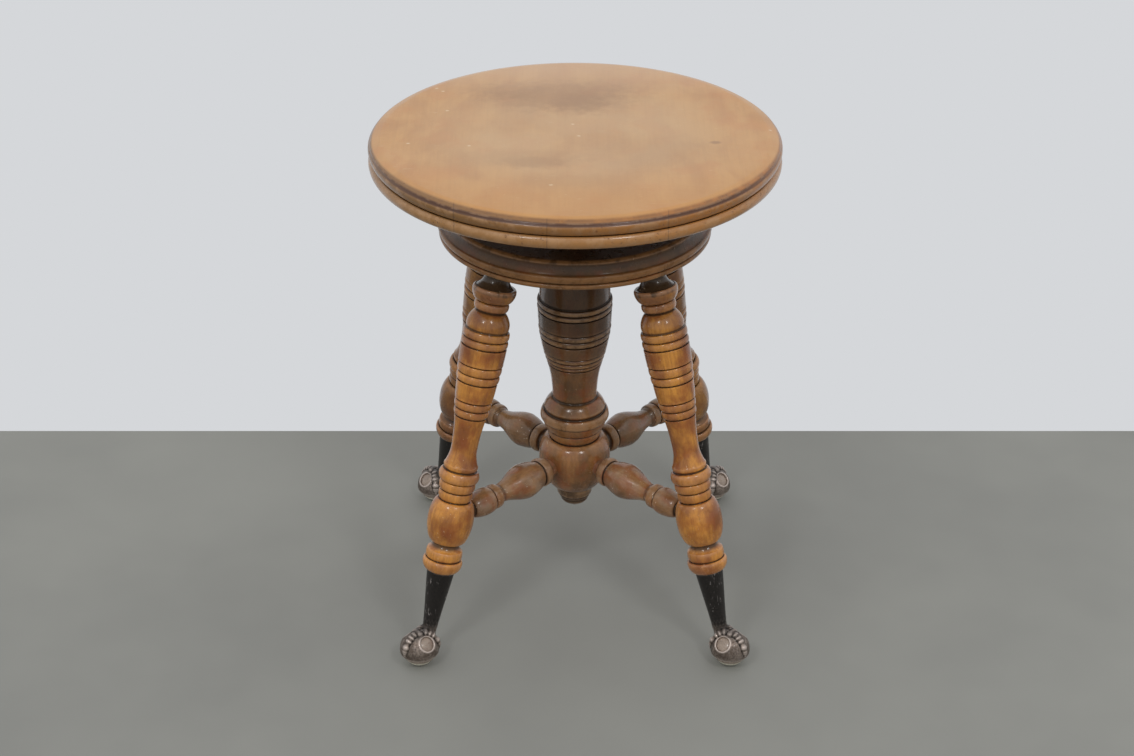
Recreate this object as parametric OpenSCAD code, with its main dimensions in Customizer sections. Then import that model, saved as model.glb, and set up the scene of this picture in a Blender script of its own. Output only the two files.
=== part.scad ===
// Revolving piano stool: a round seat on a lifting screw, a moulded disc with four splayed turned
// legs on claw and glass ball feet, a turned centre column and four turned stretchers.
// Origin on the floor under the screw's axis, +Z up, millimetres. The seat is at its lowest.

/* [Seat] */
// Height of the seat's top above the floor with the screw all the way down
stool_h = 454.4; // [400:0.2:620]
// Diameter of the seat over its beads
seat_d = 355.6; // [300:0.2:420]
// Thickness of the seat
seat_t = 26; // [20:0.5:36]
// Width of the moulded edge around the seat
seat_rim_w = 11; // [7:0.5:16]

/* [Platform] */
// Diameter of the disc that carries the legs
disc_d = 240; // [210:1:290]
// Thickness of the disc
disc_t = 25; // [21:0.5:34]
// Width of the moulded edge around the disc
disc_rim_w = 9; // [6:0.5:14]

/* [Legs] */
// Largest radius of a leg
leg_r = 20.4; // [17:0.2:24]
// Lean of each leg from upright, in degrees
leg_splay = 15.7; // [10:0.1:20]
// Distance from the disc's edge to a leg's axis, at the disc's underside
leg_inset = 29; // [26:0.5:38]
// Length of the round tenon at a leg's top
leg_tenon_l = 15; // [11:0.5:17]

/* [Feet] */
// Diameter of a glass ball
ball_d = 31.2; // [27:0.2:38]
// Height of the small flat that a ball stands on, above the ball's lowest point
ball_flat = 0.2; // [0.1:0.05:0.4]
// Distance from a ball's centre to the ankle
ankle_reach = 21.4; // [19:0.2:27]
// Length of the tapered iron socket over a leg's end
ferrule_l = 57; // [46:0.5:70]
// Outer radius of the socket at the ankle
ankle_r = 6.1; // [5:0.1:7.5]
// Wall of the socket
ferrule_wall = 1.7; // [1.2:0.1:2.2]
// Thickness of the claw's hood over the ball
hood_t = 2; // [1.5:0.1:2.6]
// Radius of each round window in the hood
window_r = 6.6; // [5:0.1:8]
// Radius of a toe
toe_r = 3; // [2.4:0.1:3.6]

/* [Column] */
// Largest radius of the centre column
column_r = 33.4; // [32:0.2:42]
// Wall of the column's tenon around the nut
column_tenon_wall = 5.6; // [4:0.1:7]
// Length of the drop under the column
finial_l = 21; // [16:0.5:30]
// Radius of the drop's peg in the column
finial_peg_r = 6; // [4.5:0.1:8]
// Length of the drop's peg
finial_peg_l = 14; // [10:0.5:17]

/* [Stretchers] */
// Largest radius of a stretcher
stretcher_r = 16.2; // [13:0.2:19]
// Length of a stretcher's tenon in the column
stretcher_column_tenon_l = 13; // [9:0.5:16]
// Length of a stretcher's tenon in the leg
stretcher_leg_tenon_l = 14; // [9:0.5:17]

/* [Screw and nut] */
// Outer diameter of the lifting screw
screw_d = 25.4; // [22:0.2:28]
// Rise of the seat in one turn
screw_pitch = 6.35; // [5.3:0.05:7.5]
// Depth of the thread
thread_depth = 2.8; // [2.2:0.1:3.2]
// Travel of the seat from its lowest to its highest
lift = 101.6; // [70:0.1:115]
// Length of thread that stays in the nut at the top of the travel
thread_hold = 36; // [30:0.5:38]
// Radial and axial gap between the screw's thread and the nut's
thread_gap = 0.35; // [0.3:0.01:0.45]
// Length of the nut under its shoulder
nut_body_l = 38; // [34:0.5:44]
// Wall of the nut's neck around the thread
nut_wall = 2.3; // [1.8:0.1:3]
// Width of the nut's shoulder under the plate
nut_shoulder_w = 2.5; // [2:0.1:3.2]
// Height of the nut's neck over the plate
nut_proud = 4; // [2:0.2:6]

/* [Iron fittings] */
// Thickness of the plate that holds the nut down
plate_t = 4; // [3.2:0.1:5]
// Distance from the column's tenon to the plate's screws
plate_screw_gap = 9; // [7:0.5:12]
// Width of the plate outside its screws
plate_edge_w = 9; // [7:0.5:12]
// Thickness of the loose washer on the nut
washer_t = 2.5; // [1.5:0.1:4]
// Width of the washer around the screw
washer_w = 7; // [5:0.1:9]
// Thickness of the spider's arms under the seat
spider_t = 5; // [4:0.1:7]
// Distance from the axis to the end screw of each arm
spider_reach = 96; // [84:1:115]
// Radius of an arm's rounded end
spider_lobe_r = 11; // [9:0.5:14]
// Width of the spider's hub plate around the boss
spider_hub_w = 14; // [10:0.5:20]
// Height of the boss under the hub plate
boss_h = 24.7; // [18:0.1:32]
// Wall of the boss around the screw
boss_wall = 5.2; // [4:0.1:7]
// Length of a wood screw in the wood
wood_screw_l = 15; // [10:0.5:18]
// Radius of a wood screw's shank
wood_screw_r = 2; // [1.5:0.1:2.3]

/* [Hidden] */

// Azimuth of each leg, stretcher and foot, from +X
front_left_angle = 225;
front_right_angle = 315;
back_left_angle = 135;
back_right_angle = 45;
corner_angles = [front_left_angle, front_right_angle, back_left_angle, back_right_angle];

// Clearance of a fixed peg in its hole
peg_fit = 0.1;
// Gap between faces that turn past each other
run_gap = 0.2;
// How far a cut runs past the face that it opens
overrun = 1;
// Facets of a true circle
round_fn = 64;

// Kinds of stretch in a turned outline: straight, bead or cove, long curve, and S
LINE = 0;
BEAD = 1;
CURVE = 2;
EASE = 3;
// Points along a stretch of each kind
stretch_points = [1, 6, 6, 8];

// Turned outlines. Each row is the end of a stretch: its place along the piece and its radius as
// shares, the kind of stretch, and how far the stretch swells out as a share of the radius.
seat_rim_shares = [
  [0, 0, LINE, 0],
  [0.15, 0.86, CURVE, 0.16],
  [0.17, 0.80, LINE, 0],
  [0.55, 0.60, BEAD, 0.28],
  [1, 0.52, BEAD, 0.44]
];
disc_rim_shares = [
  [0, 0.10, LINE, 0],
  [0.10, 0.38, CURVE, 0.08],
  [0.14, 0.38, LINE, 0],
  [0.45, 0.78, CURVE, -0.06],
  [0.76, 0.66, BEAD, 0.28],
  [0.97, 0.56, BEAD, 0.30],
  [1, 0.44, LINE, 0]
];
leg_shares = [
  [0, 0.549, LINE, 0],
  [0.045, 0.549, LINE, 0],
  [0.073, 0.81, CURVE, -0.05],
  [0.118, 0.645, BEAD, 0.18],
  [0.146, 0.63, BEAD, 0.095],
  [0.207, 0.915, CURVE, 0.11],
  [0.234, 0.92, BEAD, 0.075],
  [0.259, 0.92, BEAD, 0.075],
  [0.262, 0.98, LINE, 0],
  [0.314, 0.955, CURVE, 0.015],
  [0.317, 0.88, LINE, 0],
  [0.347, 0.855, BEAD, 0.08],
  [0.374, 0.815, BEAD, 0.08],
  [0.377, 0.87, LINE, 0],
  [0.432, 0.80, CURVE, 0.015],
  [0.435, 0.73, LINE, 0],
  [0.462, 0.69, BEAD, 0.075],
  [0.488, 0.64, BEAD, 0.075],
  [0.491, 0.685, LINE, 0],
  [0.580, 0.57, CURVE, -0.02],
  [0.645, 0.715, CURVE, -0.05],
  [0.663, 0.69, BEAD, 0.03],
  [0.700, 0.70, BEAD, 0.175],
  [0.731, 0.675, BEAD, 0.09],
  [0.763, 0.65, BEAD, 0.07],
  [0.905, 0.60, BEAD, 0.375],
  [0.913, 0.59, LINE, 0],
  [0.929, 0.725, CURVE, -0.02],
  [0.960, 0.735, BEAD, 0.06],
  [1, 0.617, BEAD, 0.175]
];
// Where a stretcher meets the leg's ball, along the leg, and the ball's radius there
leg_ball_share = 0.83;
leg_ball_r_share = 1;
column_shares = [
  [0, 0.88, LINE, 0],
  [0.027, 0.86, BEAD, 0.09],
  [0.035, 0.80, LINE, 0],
  [0.105, 0.77, CURVE, -0.03],
  [0.245, 0.955, CURVE, 0.05],
  [0.267, 0.955, BEAD, 0.045],
  [0.288, 0.955, BEAD, 0.045],
  [0.291, 0.99, LINE, 0],
  [0.342, 0.975, CURVE, 0.008],
  [0.345, 0.935, LINE, 0],
  [0.369, 0.92, BEAD, 0.045],
  [0.393, 0.89, BEAD, 0.045],
  [0.396, 0.925, LINE, 0],
  [0.441, 0.86, CURVE, 0.01],
  [0.444, 0.815, LINE, 0],
  [0.465, 0.77, BEAD, 0.042],
  [0.483, 0.735, BEAD, 0.038],
  [0.496, 0.715, BEAD, 0.03],
  [0.500, 0.735, LINE, 0],
  [0.610, 0.61, CURVE, -0.022],
  [0.632, 0.62, LINE, 0],
  [0.670, 0.83, CURVE, 0.03],
  [0.683, 0.83, LINE, 0],
  [0.720, 0.86, BEAD, 0.085],
  [0.758, 0.745, BEAD, 0.035],
  [0.795, 0.65, BEAD, 0.035],
  [1, 0.40, BEAD, 0.44]
];
// Where the stretchers meet the column's ball, along the column, and the ball's radius there
column_ball_share = 0.880;
column_ball_r_share = 0.985;
finial_shares = [
  [0, 0.47, LINE, 0],
  [0.34, 0.45, BEAD, 0.025],
  [0.36, 0.41, LINE, 0],
  [0.52, 0.39, BEAD, 0.025],
  [0.94, 0.14, CURVE, 0.07],
  [1, 0.05, CURVE, 0.02]
];
stretcher_shares = [
  [0, 0.525, LINE, 0],
  [0.05, 0.60, CURVE, -0.01],
  [0.06, 0.66, LINE, 0],
  [0.145, 0.71, BEAD, 0.13],
  [0.155, 0.76, LINE, 0],
  [0.315, 1, CURVE, 0.04],
  [0.62, 0.535, EASE, 0],
  [0.65, 0.60, LINE, 0],
  [0.735, 0.60, BEAD, 0.085],
  [0.965, 0.44, BEAD, 0.23],
  [1, 0.432, LINE, 0]
];
// The thread over one pitch: foot, crest, crest, foot
thread_shares = [0.14, 0.28, 0.58, 0.72];
// Part of a pitch over which the thread fades at its ends
thread_fade_share = 0.6;
// Upright lines of points round the screw and the nut
thread_sides = 18;

// Shape of the feet: directions of the toes and windows from straight out, and the angles above the
// ball's equator of a toe's ends, its knuckles, a window and the hood's edge. A talon bends in by its
// own angle.
toe_azimuths = [0, 140, -140];
window_azimuths = [85, -85];
ankle_angle = 38;
toe_top_angle = 80;
toe_end_angle = 12;
talon_angle = 25;
knuckle_angles = [71, 59, 47, 27];
window_angle = 42;
hood_edge_angle = -12;
hood_steps = 12;
// How far a leg's end fills the socket
ferrule_depth_share = 0.86;
// Sizes of a toe's knuckles and talon, its seat on the ball, and the ankle's foot and knob, as parts
// of the toe's and the ankle's radius
knuckle_share = 1.22;
talon_share = 0.86;
talon_tip_share = 0.22;
talon_l_share = 1.9;
toe_seat_share = 0.35;
ankle_foot_share = 1.35;
ankle_knob_share = 1.12;

// Wood screw heads, and the spider's arms at the hub and at the end, as parts of its lobe
screw_head_share = 2.1;
screw_head_h_share = 0.6;
arm_root_share = 1.3;
arm_end_share = 0.8;
boss_flare_share = 0.2;
// Length of the screw's blunt tip, and spare depth of the bore under it
screw_tip = 1.5;
bore_spare = 6;
// Radial gap between the screw's thread and the bore in the column
bore_gap = 2;
// Lead-in at each end of the nut's thread
nut_lead = 0.8;
// Nails that hold the sockets: shank, head and place
nail_r = 0.9;
nail_l = 8;
nail_head_r = 2.2;
nail_head_h = 0.8;
nail_at_share = 0.16;

// Heights, from the top down
seat_r = seat_d / 2;
disc_r = disc_d / 2;
seat_bottom_z = stool_h - seat_t;
spider_bottom_z = seat_bottom_z - spider_t;
boss_bottom_z = spider_bottom_z - boss_h;
washer_z = boss_bottom_z - run_gap - washer_t;
nut_top_z = washer_z - run_gap;
plate_top_z = nut_top_z - nut_proud;
disc_top_z = plate_top_z - plate_t;
disc_z = disc_top_z - disc_t;

// Feet and legs
ball_r = ball_d / 2;
ball_z = ball_r - ball_flat;
leg_tenon_r = leg_r * leg_shares[0][1];
leg_end_r = leg_r * leg_shares[len(leg_shares) - 1][1];
leg_axis_l = (disc_z - ball_z - ankle_reach * cos(ankle_angle)) / cos(leg_splay);
leg_l = leg_axis_l - ferrule_l;
leg_top_at = disc_r - leg_inset;
ball_at = leg_top_at + leg_axis_l * sin(leg_splay) + ankle_reach * sin(ankle_angle);
toe_arc_r = ball_r + toe_r * toe_seat_share;
hood_r = ball_r + hood_t;

// Sockets: the bore narrows like the outside, a wall thinner
ferrule_mouth_r = leg_end_r - ferrule_wall;
ferrule_depth = ferrule_l * ferrule_depth_share;
ferrule_depth_r = ferrule_mouth_r + (ankle_r - leg_end_r) * ferrule_depth_share;
nail_at = leg_l + ferrule_l * nail_at_share;
nail_face_r = leg_end_r + (ankle_r - leg_end_r) * nail_at_share;
// A nail's head clears the socket's taper across its own width
nail_seat = nail_head_r * (leg_end_r - ankle_r) / ferrule_l + peg_fit / 2;

// Stretchers and column
stretcher_z = disc_z - leg_l * leg_ball_share * cos(leg_splay);
leg_at_stretcher = leg_top_at + leg_l * leg_ball_share * sin(leg_splay);
stretcher_start = column_r * column_ball_r_share;
stretcher_end = leg_at_stretcher - leg_r * leg_ball_r_share;
stretcher_column_r = stretcher_r * stretcher_shares[0][1];
stretcher_leg_r = stretcher_r * stretcher_shares[len(stretcher_shares) - 1][1];
column_l = (disc_z - stretcher_z) / column_ball_share;
column_bottom_z = disc_z - column_l;

// Screw and nut
screw_r = screw_d / 2;
screw_root_r = screw_r - thread_depth;
screw_bottom_z = nut_top_z - thread_hold - lift;
nut_bottom_z = disc_top_z - nut_body_l;
// The nut's upright lines lie on a slightly larger circle, so that its flats keep the gap
flat_factor = 1 / cos(180 / thread_sides);
nut_mouth_r = (screw_r + thread_gap) * flat_factor;
hexagon_factor = 1 / cos(180 / 6);
nut_neck_r = (nut_mouth_r + nut_wall) * hexagon_factor;
nut_body_r = (nut_mouth_r + nut_wall + nut_shoulder_w) * hexagon_factor;
column_tenon_r = nut_body_r + peg_fit + column_tenon_wall;
plate_screw_at = column_tenon_r + plate_screw_gap;
plate_r = plate_screw_at + plate_edge_w;
boss_r = screw_r + boss_wall;
washer_r = screw_r + thread_gap + washer_w;
spider_hub_r = boss_r + spider_hub_w;
spider_inner_at = (spider_hub_r + spider_reach) / 2;
screw_head_r = wood_screw_r * screw_head_share;
screw_head_h = screw_head_r * screw_head_h_share;

// Points of one stretch from a to b, without a, as [place, radius]
function stretch(a, b, kind, swell) =
  let (n = stretch_points[kind])
  [for (i = [1 : n])
    let (
      u = kind == BEAD ? (1 - cos(180 * i / n)) / 2 : i / n,
      v = kind == EASE ? (1 - cos(180 * u)) / 2 : u,
      out = kind == BEAD ? sin(180 * i / n) : kind == CURVE ? sin(180 * u) : 0
    )
    [a[0] + (b[0] - a[0]) * u, a[1] + (b[1] - a[1]) * v + swell * out]];

// Whole turned outline as [place, radius], from start over length l, its radii growing from base
function turned(shares, start, l, base, r) = [
  [start, base + r * shares[0][1]],
  for (i = [1 : len(shares) - 1])
    let (
      a = [start + l * shares[i - 1][0], base + r * shares[i - 1][1]],
      b = [start + l * shares[i][0], base + r * shares[i][1]]
    )
    each stretch(a, b, shares[i][2], r * shares[i][3])
];

// A solid turned from an outline, its places running along +Z
module lathe(outline) {
  rotate_extrude($fn = round_fn)
    polygon([
      [0, outline[0][0]],
      for (p = outline) [p[1], p[0]],
      [0, outline[len(outline) - 1][0]]
    ]);
}

// The same, its places running down from zero
module lathe_down(outline) {
  rotate([180, 0, 0]) lathe(outline);
}

// A round peg or hole of radius r from z0 to z1
module peg(r, z0, z1) {
  translate([0, 0, z0]) cylinder(h = z1 - z0, r = r, $fn = round_fn);
}

// How far a ridge stands at turn u, as a share: it fades out towards the first and the last turn
function thread_rise(u, turns) =
  max(0, min(1, min(u - 1, turns - 1 / thread_sides - u) / thread_fade_share));

// Radii and heights up one side of a thread of whole turns that starts at z0. The screw's ridge
// fades to the root, and the nut's ridges, between the turns, to the nut's widest.
function thread_line(side, z0, turns, nut) =
  [for (turn = [0 : turns - 1]) for (j = [0 : 3])
    let (
      at = turn + side / thread_sides,
      crest = j == 1 || j == 2,
      out = nut
        ? (crest ? 1 : 1 - thread_rise(j == 0 ? at : at + 1, turns))
        : (crest ? thread_rise(at + thread_fade_share, turns) : 0),
      r = screw_root_r + thread_depth * out,
      z = z0 + screw_pitch * (at + thread_shares[j])
    )
    nut ? [(r + thread_gap) * flat_factor, z + (j < 2 ? -thread_gap : thread_gap)] : [r, z]];

// Whole turns of thread that fit between z0 and z1
function thread_turns(z0, z1) = floor((z1 - z0) / screw_pitch - thread_shares[3]);

function round_point(side, rz) =
  let (a = 360 * side / thread_sides)
  [rz[0] * cos(a), rz[0] * sin(a), rz[1]];

// Faces of a skin of upright lines with m points each, of which the thread takes n from first on.
// The last line joins the first line one turn of thread further up.
function skin_faces(m, first, n, loop) =
  let (s = thread_sides, last = (s - 1) * m, top = first + n, end = m - (loop ? 1 : 2))
  [
    for (k = [0 : s - 2]) for (i = [0 : end])
      let (a = k * m + i, b = a + m, c = (k + 1) * m + (i + 1) % m, d = k * m + (i + 1) % m)
      each [[a, c, b], [a, d, c]],
    for (i = [0 : first - 2])
      each [[last + i, i + 1, i], [last + i, last + i + 1, i + 1]],
    for (i = [first : top - 5])
      each [[last + i, i + 5, i + 4], [last + i, last + i + 1, i + 5]],
    for (j = [4 : -1 : 0]) [last + first, first + j, first + j - 1],
    [last + first, first - 1, last + first - 1],
    for (j = [-4 : -1]) [last + top + j, last + top + j + 1, top],
    for (i = [top : end])
      each [[last + i, (i + 1) % m, i], [last + i, last + (i + 1) % m, (i + 1) % m]]
  ];

function reversed(faces) = [for (f = faces) [for (i = [len(f) - 1 : -1 : 0]) f[i]]];

function skin_points(lines) =
  [for (side = [0 : thread_sides - 1]) for (rz = lines[side]) round_point(side, rz)];

// Distance from the axis to a hexagon's side at an upright line
function hexagon_r(corner_r, side) =
  corner_r * cos(30) / cos((360 * side / thread_sides) % 60 - 30);

// Puts children on a leg's axis: the origin at the disc's underside, +Z down the leg
module on_leg(azimuth) {
  rotate([0, 0, azimuth]) translate([leg_top_at, 0, disc_z]) rotate([0, 180 - leg_splay, 0])
    children();
}

// Puts children at a ball's centre, +X pointing out from the stool
module on_ball(azimuth) {
  rotate([0, 0, azimuth]) translate([ball_at, 0, ball_z]) children();
}

// Puts children on a stretcher's axis: the origin on the column's axis, +Z out along the stretcher
module on_stretcher(azimuth) {
  rotate([0, 0, azimuth]) translate([0, 0, stretcher_z]) rotate([0, 90, 0]) children();
}

// Puts children at each of the spider's screws, +Z up into the seat
module at_spider_screws() {
  for (quarter = [0 : 90 : 270]) for (at = [spider_inner_at, spider_reach])
    rotate([0, 0, quarter]) translate([at, 0, seat_bottom_z]) children();
}

// Puts children at each of the plate's screws, +Z down into the disc
module at_plate_screws() {
  for (quarter = [0 : 90 : 270])
    rotate([0, 0, quarter]) translate([plate_screw_at, 0, disc_top_z]) rotate([180, 0, 0])
      children();
}

// Hole in wood for a screw's shank
module screw_hole() {
  peg(wood_screw_r + peg_fit, -overrun, wood_screw_l + peg_fit);
}

// Cone of a screw's sunk head in a plate of thickness t, and its shank up to top
module sunk_screw(t, fit, top) {
  translate([0, 0, -t])
    cylinder(h = screw_head_h, r1 = screw_head_r + fit, r2 = wood_screw_r + fit, $fn = round_fn);
  peg(wood_screw_r + fit, -t, top);
}

module seat_top() {
  color("burlywood") difference() {
    translate([0, 0, stool_h])
      lathe_down(turned(seat_rim_shares, 0, seat_t, seat_r - seat_rim_w, seat_rim_w));
    at_spider_screws() screw_hole();
  }
}

module spider_arm() {
  root_w = spider_lobe_r * arm_root_share;
  end_w = spider_lobe_r * arm_end_share;
  translate([0, 0, spider_bottom_z]) linear_extrude(spider_t) {
    polygon([[0, root_w], [spider_reach, end_w], [spider_reach, -end_w], [0, -root_w]]);
    translate([spider_reach, 0]) circle(r = spider_lobe_r, $fn = round_fn);
  }
}

module seat_spider() {
  color("dimgray") difference() {
    union() {
      peg(spider_hub_r, spider_bottom_z, seat_bottom_z);
      for (quarter = [0 : 90 : 270]) rotate([0, 0, quarter]) spider_arm();
      translate([0, 0, boss_bottom_z])
        cylinder(h = boss_h, r1 = boss_r, r2 = boss_r + boss_h * boss_flare_share, $fn = round_fn);
    }
    peg(screw_r + peg_fit, boss_bottom_z - overrun, seat_bottom_z + overrun);
    at_spider_screws() sunk_screw(spider_t, peg_fit, overrun);
  }
}

module spider_screws() {
  color("silver") at_spider_screws() sunk_screw(spider_t, 0, wood_screw_l);
}

// Threaded up to the nut's top, plain above it
module lift_screw() {
  turns = thread_turns(screw_bottom_z, nut_top_z - screw_tip);
  lines = [for (side = [0 : thread_sides - 1])
    [
      [screw_root_r - screw_tip, screw_bottom_z - screw_tip],
      [screw_root_r, screw_bottom_z],
      each thread_line(side, screw_bottom_z, turns, false),
      [screw_root_r, nut_top_z - screw_tip],
      [screw_r, nut_top_z],
      [screw_r, seat_bottom_z - peg_fit]
    ]];
  m = len(lines[0]);
  bottom = [for (side = [0 : thread_sides - 1]) side * m];
  top = [for (side = [thread_sides - 1 : -1 : 0]) side * m + m - 1];
  color("lightslategray")
    polyhedron(skin_points(lines), [each skin_faces(m, 2, 4 * turns, false), bottom, top]);
}

module thrust_washer() {
  color("saddlebrown") difference() {
    peg(washer_r, washer_z, washer_z + washer_t);
    peg(screw_r + thread_gap, washer_z - overrun, washer_z + washer_t + overrun);
  }
}

// Its thread keeps in step with the screw's. The hexagonal neck passes through the plate.
module thread_nut() {
  z0 = screw_bottom_z + ceil((nut_bottom_z + nut_lead - screw_bottom_z) / screw_pitch) * screw_pitch;
  turns = thread_turns(z0, nut_top_z - nut_lead - thread_gap);
  lines = [for (side = [0 : thread_sides - 1])
    let (body = hexagon_r(nut_body_r, side), neck = hexagon_r(nut_neck_r, side))
    [
      [nut_mouth_r + nut_lead, nut_bottom_z],
      [nut_mouth_r, nut_bottom_z + nut_lead],
      each thread_line(side, z0, turns, true),
      [nut_mouth_r, nut_top_z - nut_lead],
      [nut_mouth_r + nut_lead, nut_top_z],
      [neck, nut_top_z], [neck, disc_top_z], [body, disc_top_z], [body, nut_bottom_z]
    ]];
  m = len(lines[0]);
  color("gray") polyhedron(skin_points(lines), reversed(skin_faces(m, 2, 4 * turns, true)));
}

module nut_plate() {
  color("dimgray") difference() {
    peg(plate_r, disc_top_z, plate_top_z);
    translate([0, 0, disc_top_z - overrun])
      cylinder(h = plate_t + 2 * overrun, r = nut_neck_r + peg_fit, $fn = 6);
    at_plate_screws() sunk_screw(plate_t, peg_fit, overrun);
  }
}

module plate_screws() {
  color("silver") at_plate_screws() sunk_screw(plate_t, 0, wood_screw_l);
}

module platform_disc() {
  color("saddlebrown") difference() {
    translate([0, 0, disc_top_z])
      lathe_down(turned(disc_rim_shares, 0, disc_t, disc_r - disc_rim_w, disc_rim_w));
    peg(column_tenon_r + peg_fit, disc_z - overrun, disc_top_z + overrun);
    for (azimuth = corner_angles)
      on_leg(azimuth) peg(leg_tenon_r + peg_fit, -leg_tenon_l - peg_fit, disc_t);
    at_plate_screws() screw_hole();
  }
}

module centre_column() {
  outline = [
    [-disc_t, column_tenon_r], [0, column_tenon_r],
    each turned(column_shares, 0, column_l, 0, column_r)
  ];
  color("saddlebrown") difference() {
    translate([0, 0, disc_z]) lathe_down(outline);
    peg(nut_body_r + peg_fit, nut_bottom_z - peg_fit, disc_top_z + overrun);
    peg(screw_r + bore_gap, screw_bottom_z - bore_spare, disc_top_z);
    peg(finial_peg_r + peg_fit, column_bottom_z - overrun, column_bottom_z + finial_peg_l + peg_fit);
    for (azimuth = corner_angles) on_stretcher(azimuth)
      peg(
        stretcher_column_r + peg_fit,
        stretcher_start - stretcher_column_tenon_l - peg_fit, column_r + overrun
      );
  }
}

module column_finial() {
  outline = [
    [-finial_peg_l, finial_peg_r], [0, finial_peg_r],
    each turned(finial_shares, 0, finial_l, 0, column_r)
  ];
  color("saddlebrown") translate([0, 0, column_bottom_z]) lathe_down(outline);
}

module leg(azimuth) {
  outline = [
    [-leg_tenon_l, leg_tenon_r],
    each turned(leg_shares, 0, leg_l, 0, leg_r),
    [leg_l, ferrule_mouth_r - peg_fit],
    [leg_l + ferrule_depth - peg_fit, ferrule_depth_r - peg_fit]
  ];
  color("peru") difference() {
    on_leg(azimuth) lathe(outline);
    on_stretcher(azimuth)
      peg(
        stretcher_leg_r + peg_fit,
        stretcher_end - leg_r, stretcher_end + stretcher_leg_tenon_l + peg_fit
      );
    on_leg(azimuth) nail_shape(peg_fit);
  }
}

module stretcher(azimuth) {
  outline = [
    [stretcher_start - stretcher_column_tenon_l, stretcher_column_r],
    each turned(stretcher_shares, stretcher_start, stretcher_end - stretcher_start, 0, stretcher_r),
    [stretcher_end + stretcher_leg_tenon_l, stretcher_leg_r]
  ];
  color("sienna") on_stretcher(azimuth) lathe(outline);
}

// One nail through the socket's wall into the leg, on the side towards the column
module nail_shape(fit) {
  translate([0, 0, nail_at]) rotate([0, 90, 0])
    peg(nail_r + fit, nail_face_r - nail_l - fit, nail_face_r + nail_seat);
}

module nail_head() {
  translate([0, 0, nail_at]) rotate([0, 90, 0])
    peg(nail_head_r, nail_face_r + nail_seat, nail_face_r + nail_seat + nail_head_h);
}

// A toe: a bent finger with knuckles, its inner side flat against the ball, and a talon at its end
module toe() {
  w = toe_r * knuckle_share;
  rotate([90, 0, 0]) difference() {
    union() {
      rotate([0, 0, toe_end_angle]) rotate_extrude(angle = toe_top_angle - toe_end_angle, $fn = round_fn)
        translate([toe_arc_r, 0]) circle(r = toe_r, $fn = round_fn);
      for (angle = knuckle_angles) rotate([0, 0, angle]) translate([toe_arc_r, 0, 0])
        sphere(r = w, $fn = round_fn);
      rotate([0, 0, toe_end_angle]) translate([toe_arc_r, 0, 0]) rotate([90, 0, -talon_angle]) cylinder(
        h = toe_r * talon_l_share, $fn = round_fn,
        r1 = toe_r * talon_share, r2 = toe_r * talon_tip_share
      );
    }
    peg(ball_r + peg_fit, -w - overrun, w + overrun);
  }
}

// The shell over the ball, with its round windows
module hood() {
  step = (90 - hood_edge_angle) / hood_steps;
  inner_r = (ball_r + peg_fit) / cos(step / 2);
  outline = [
    for (i = [0 : hood_steps]) let (a = hood_edge_angle + step * i) [hood_r * cos(a), hood_r * sin(a)],
    for (i = [hood_steps : -1 : 0]) let (a = hood_edge_angle + step * i) [inner_r * cos(a), inner_r * sin(a)]
  ];
  difference() {
    rotate_extrude($fn = round_fn) polygon(outline);
    for (azimuth = window_azimuths)
      rotate([0, 90 - window_angle, azimuth]) peg(window_r, window_r, hood_r + overrun);
  }
}

// The neck between the socket and the ball, cut flat where it would reach the ball
module ankle() {
  foot_z = ball_r + peg_fit;
  knob_r = ankle_r * ankle_knob_share;
  rotate([0, -ankle_angle, 0]) difference() {
    union() {
      translate([0, 0, foot_z])
        cylinder(h = ankle_reach - foot_z, r1 = ankle_r * ankle_foot_share, r2 = ankle_r, $fn = round_fn);
      translate([0, 0, ankle_reach]) sphere(r = knob_r, $fn = round_fn);
    }
    peg(knob_r + overrun, foot_z - knob_r, foot_z);
  }
}

module claw_foot(azimuth) {
  color("dimgray") difference() {
    union() {
      on_leg(azimuth) translate([0, 0, leg_l])
        cylinder(h = ferrule_l, r1 = leg_end_r, r2 = ankle_r, $fn = round_fn);
      on_ball(azimuth) {
        hood();
        ankle();
        for (toward = toe_azimuths) rotate([0, 0, toward]) toe();
      }
    }
    on_leg(azimuth) translate([0, 0, leg_l])
      cylinder(h = ferrule_depth, r1 = ferrule_mouth_r, r2 = ferrule_depth_r, $fn = round_fn);
    on_leg(azimuth) nail_shape(peg_fit);
  }
}

module glass_ball(azimuth) {
  color("lightgray") on_ball(azimuth) difference() {
    sphere(r = ball_r, $fn = round_fn);
    peg(ball_r, -ball_r - overrun, -ball_z);
  }
}

module ferrule_nails() {
  color("silver") for (azimuth = corner_angles) on_leg(azimuth) {
    nail_shape(0);
    nail_head();
  }
}

seat_top();
seat_spider();
spider_screws();
lift_screw();
thrust_washer();
thread_nut();
nut_plate();
plate_screws();
platform_disc();
centre_column();
column_finial();
leg(front_left_angle);  // leg_front_left
leg(front_right_angle);  // leg_front_right
leg(back_left_angle);  // leg_back_left
leg(back_right_angle);  // leg_back_right
stretcher(front_left_angle);  // stretcher_front_left
stretcher(front_right_angle);  // stretcher_front_right
stretcher(back_left_angle);  // stretcher_back_left
stretcher(back_right_angle);  // stretcher_back_right
claw_foot(front_left_angle);  // claw_foot_front_left
claw_foot(front_right_angle);  // claw_foot_front_right
claw_foot(back_left_angle);  // claw_foot_back_left
claw_foot(back_right_angle);  // claw_foot_back_right
glass_ball(front_left_angle);  // glass_ball_front_left
glass_ball(front_right_angle);  // glass_ball_front_right
glass_ball(back_left_angle);  // glass_ball_back_left
glass_ball(back_right_angle);  // glass_ball_back_right
ferrule_nails();
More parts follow.
